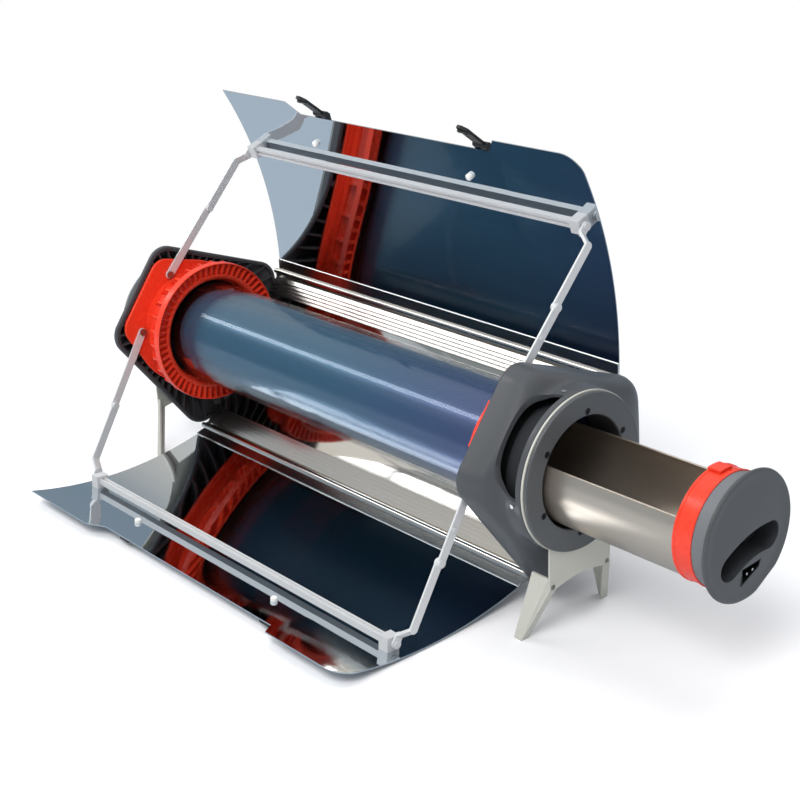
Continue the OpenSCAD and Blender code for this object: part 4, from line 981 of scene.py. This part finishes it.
mixed = add(tree, "ShaderNodeMixShader", {0: seen.outputs[0], 1: shiny.outputs[0],
                                          2: backdrop.outputs[0]})
add(tree, "ShaderNodeOutputWorld", {"Surface": mixed.outputs[0]})

# %% [markdown]
# The floor takes the shadow near the oven and fades to plain white further out, so that no horizon
# shows. A mirror sees it greyer, as if the studio's table ended behind the camera.

# %% Floor
FLOOR_HALF, FADE_FROM, FADE_TO = 30, 0.55, 1.3
bm = bmesh.new()
bmesh.ops.create_grid(bm, x_segments=1, y_segments=1, size=FLOOR_HALF)
floor_mesh = bpy.data.meshes.new("floor")
bm.to_mesh(floor_mesh)
bm.free()
floor = bpy.data.objects.new("floor", floor_mesh)
scene.collection.objects.link(floor)
floor_paint = bpy.data.materials.new("Matt white paint")
floor_paint.use_nodes = True
tree = floor_paint.node_tree
tree.nodes.clear()
where = add(tree, "ShaderNodeTexCoord")
away = add(tree, "ShaderNodeVectorMath", {0: where.outputs["Object"]}, operation="LENGTH")
fade = add(tree, "ShaderNodeMapRange", {"Value": away.outputs["Value"], "From Min": FADE_FROM,
                                        "From Max": FADE_TO})
rays = add(tree, "ShaderNodeLightPath")
shown = add(tree, "ShaderNodeMath", {0: fade.outputs[0], 1: rays.outputs["Is Camera Ray"]},
            operation="MULTIPLY")
shade = add(tree, "ShaderNodeMix", {"Factor": rays.outputs["Is Glossy Ray"], 6: colour("f4f4f5"),
                                    7: colour("a4adb5")}, data_type="RGBA")
matt = add(tree, "ShaderNodeBsdfDiffuse", {"Color": shade.outputs[2]})
glow = add(tree, "ShaderNodeEmission", {"Strength": 1.0})
mixed = add(tree, "ShaderNodeMixShader", {0: shown.outputs[0], 1: matt.outputs[0], 2: glow.outputs[0]})
add(tree, "ShaderNodeOutputMaterial", {"Surface": mixed.outputs[0]})
floor.data.materials.append(floor_paint)

# %% [markdown]
# Three wide lamps light only the matt surfaces, so that the mirrors stay free of them. A small lamp
# gives the plastics their highlight, and a narrow strip high up draws the bright line along the tube.

# %% Lamps
LAMPS = (("key", (0.9, -1.6, 2.2), (1.6, 1.2), 42, False),
         ("fill", (-2.2, -1.0, 1.5), (1.6, 1.6), 16, False),
         ("top", (-0.2, 0.6, 2.6), (2.4, 1.4), 26, False),
         ("glint", (0.9, -1.6, 2.2), (0.7, 0.5), 8, True),
         ("strip", (-1.6, -0.75, 1.27), (2.6, 0.2), 7, True))
AIM_AT, STRIP_TILT = Vector((0, 0, 0.15)), 34
for name, place, size, power, in_mirrors in LAMPS:
    light = bpy.data.lights.new(name, "AREA")
    light.shape, light.size, light.size_y, light.energy = "RECTANGLE", *size, power
    lamp = bpy.data.objects.new(name, light)
    lamp.location = place
    lamp.rotation_euler = (AIM_AT - Vector(place)).to_track_quat("-Z", "Y").to_euler()
    lamp.visible_glossy = in_mirrors
    scene.collection.objects.link(lamp)
bpy.data.objects["strip"].rotation_euler = (math.radians(STRIP_TILT), 0, 0)
print("Lamps:", len(LAMPS))

# %% [markdown]
# The camera was fitted to points that the photograph and the CAD share. Its shift stands in for the
# photograph's crop.

# %% Camera
PHOTO_PX, SENSOR_MM = 800, 36
FOCAL_PX, PITCH, AZIMUTH, ROLL = 1473.3, 22.136, 47.944, -1.651
CENTRE_PX = (436.94, 415.70)
camera_data = bpy.data.cameras.new("camera")
camera = bpy.data.objects.new("camera", camera_data)
scene.collection.objects.link(camera)
scene.camera = camera
camera_data.sensor_width = SENSOR_MM
camera_data.lens = FOCAL_PX / PHOTO_PX * SENSOR_MM
camera_data.shift_x = (PHOTO_PX / 2 - CENTRE_PX[0]) / PHOTO_PX
camera_data.shift_y = (CENTRE_PX[1] - PHOTO_PX / 2) / PHOTO_PX
camera_data.clip_end = 100
camera.location = (1.016995, -0.831990, 0.688564)
p, a, r = (math.radians(k) for k in (PITCH, AZIMUTH, ROLL))
forward = Vector((-math.sin(a) * math.cos(p), math.cos(a) * math.cos(p), -math.sin(p)))
right = Vector((math.cos(a), math.sin(a), 0))
up = right.cross(forward)
right, up = math.cos(r) * right + math.sin(r) * up, -math.sin(r) * right + math.cos(r) * up
camera.rotation_mode = "QUATERNION"
camera.rotation_quaternion = Matrix((right, up, -forward)).transposed().to_quaternion()
print("Focal length, mm:", round(camera_data.lens, 1))
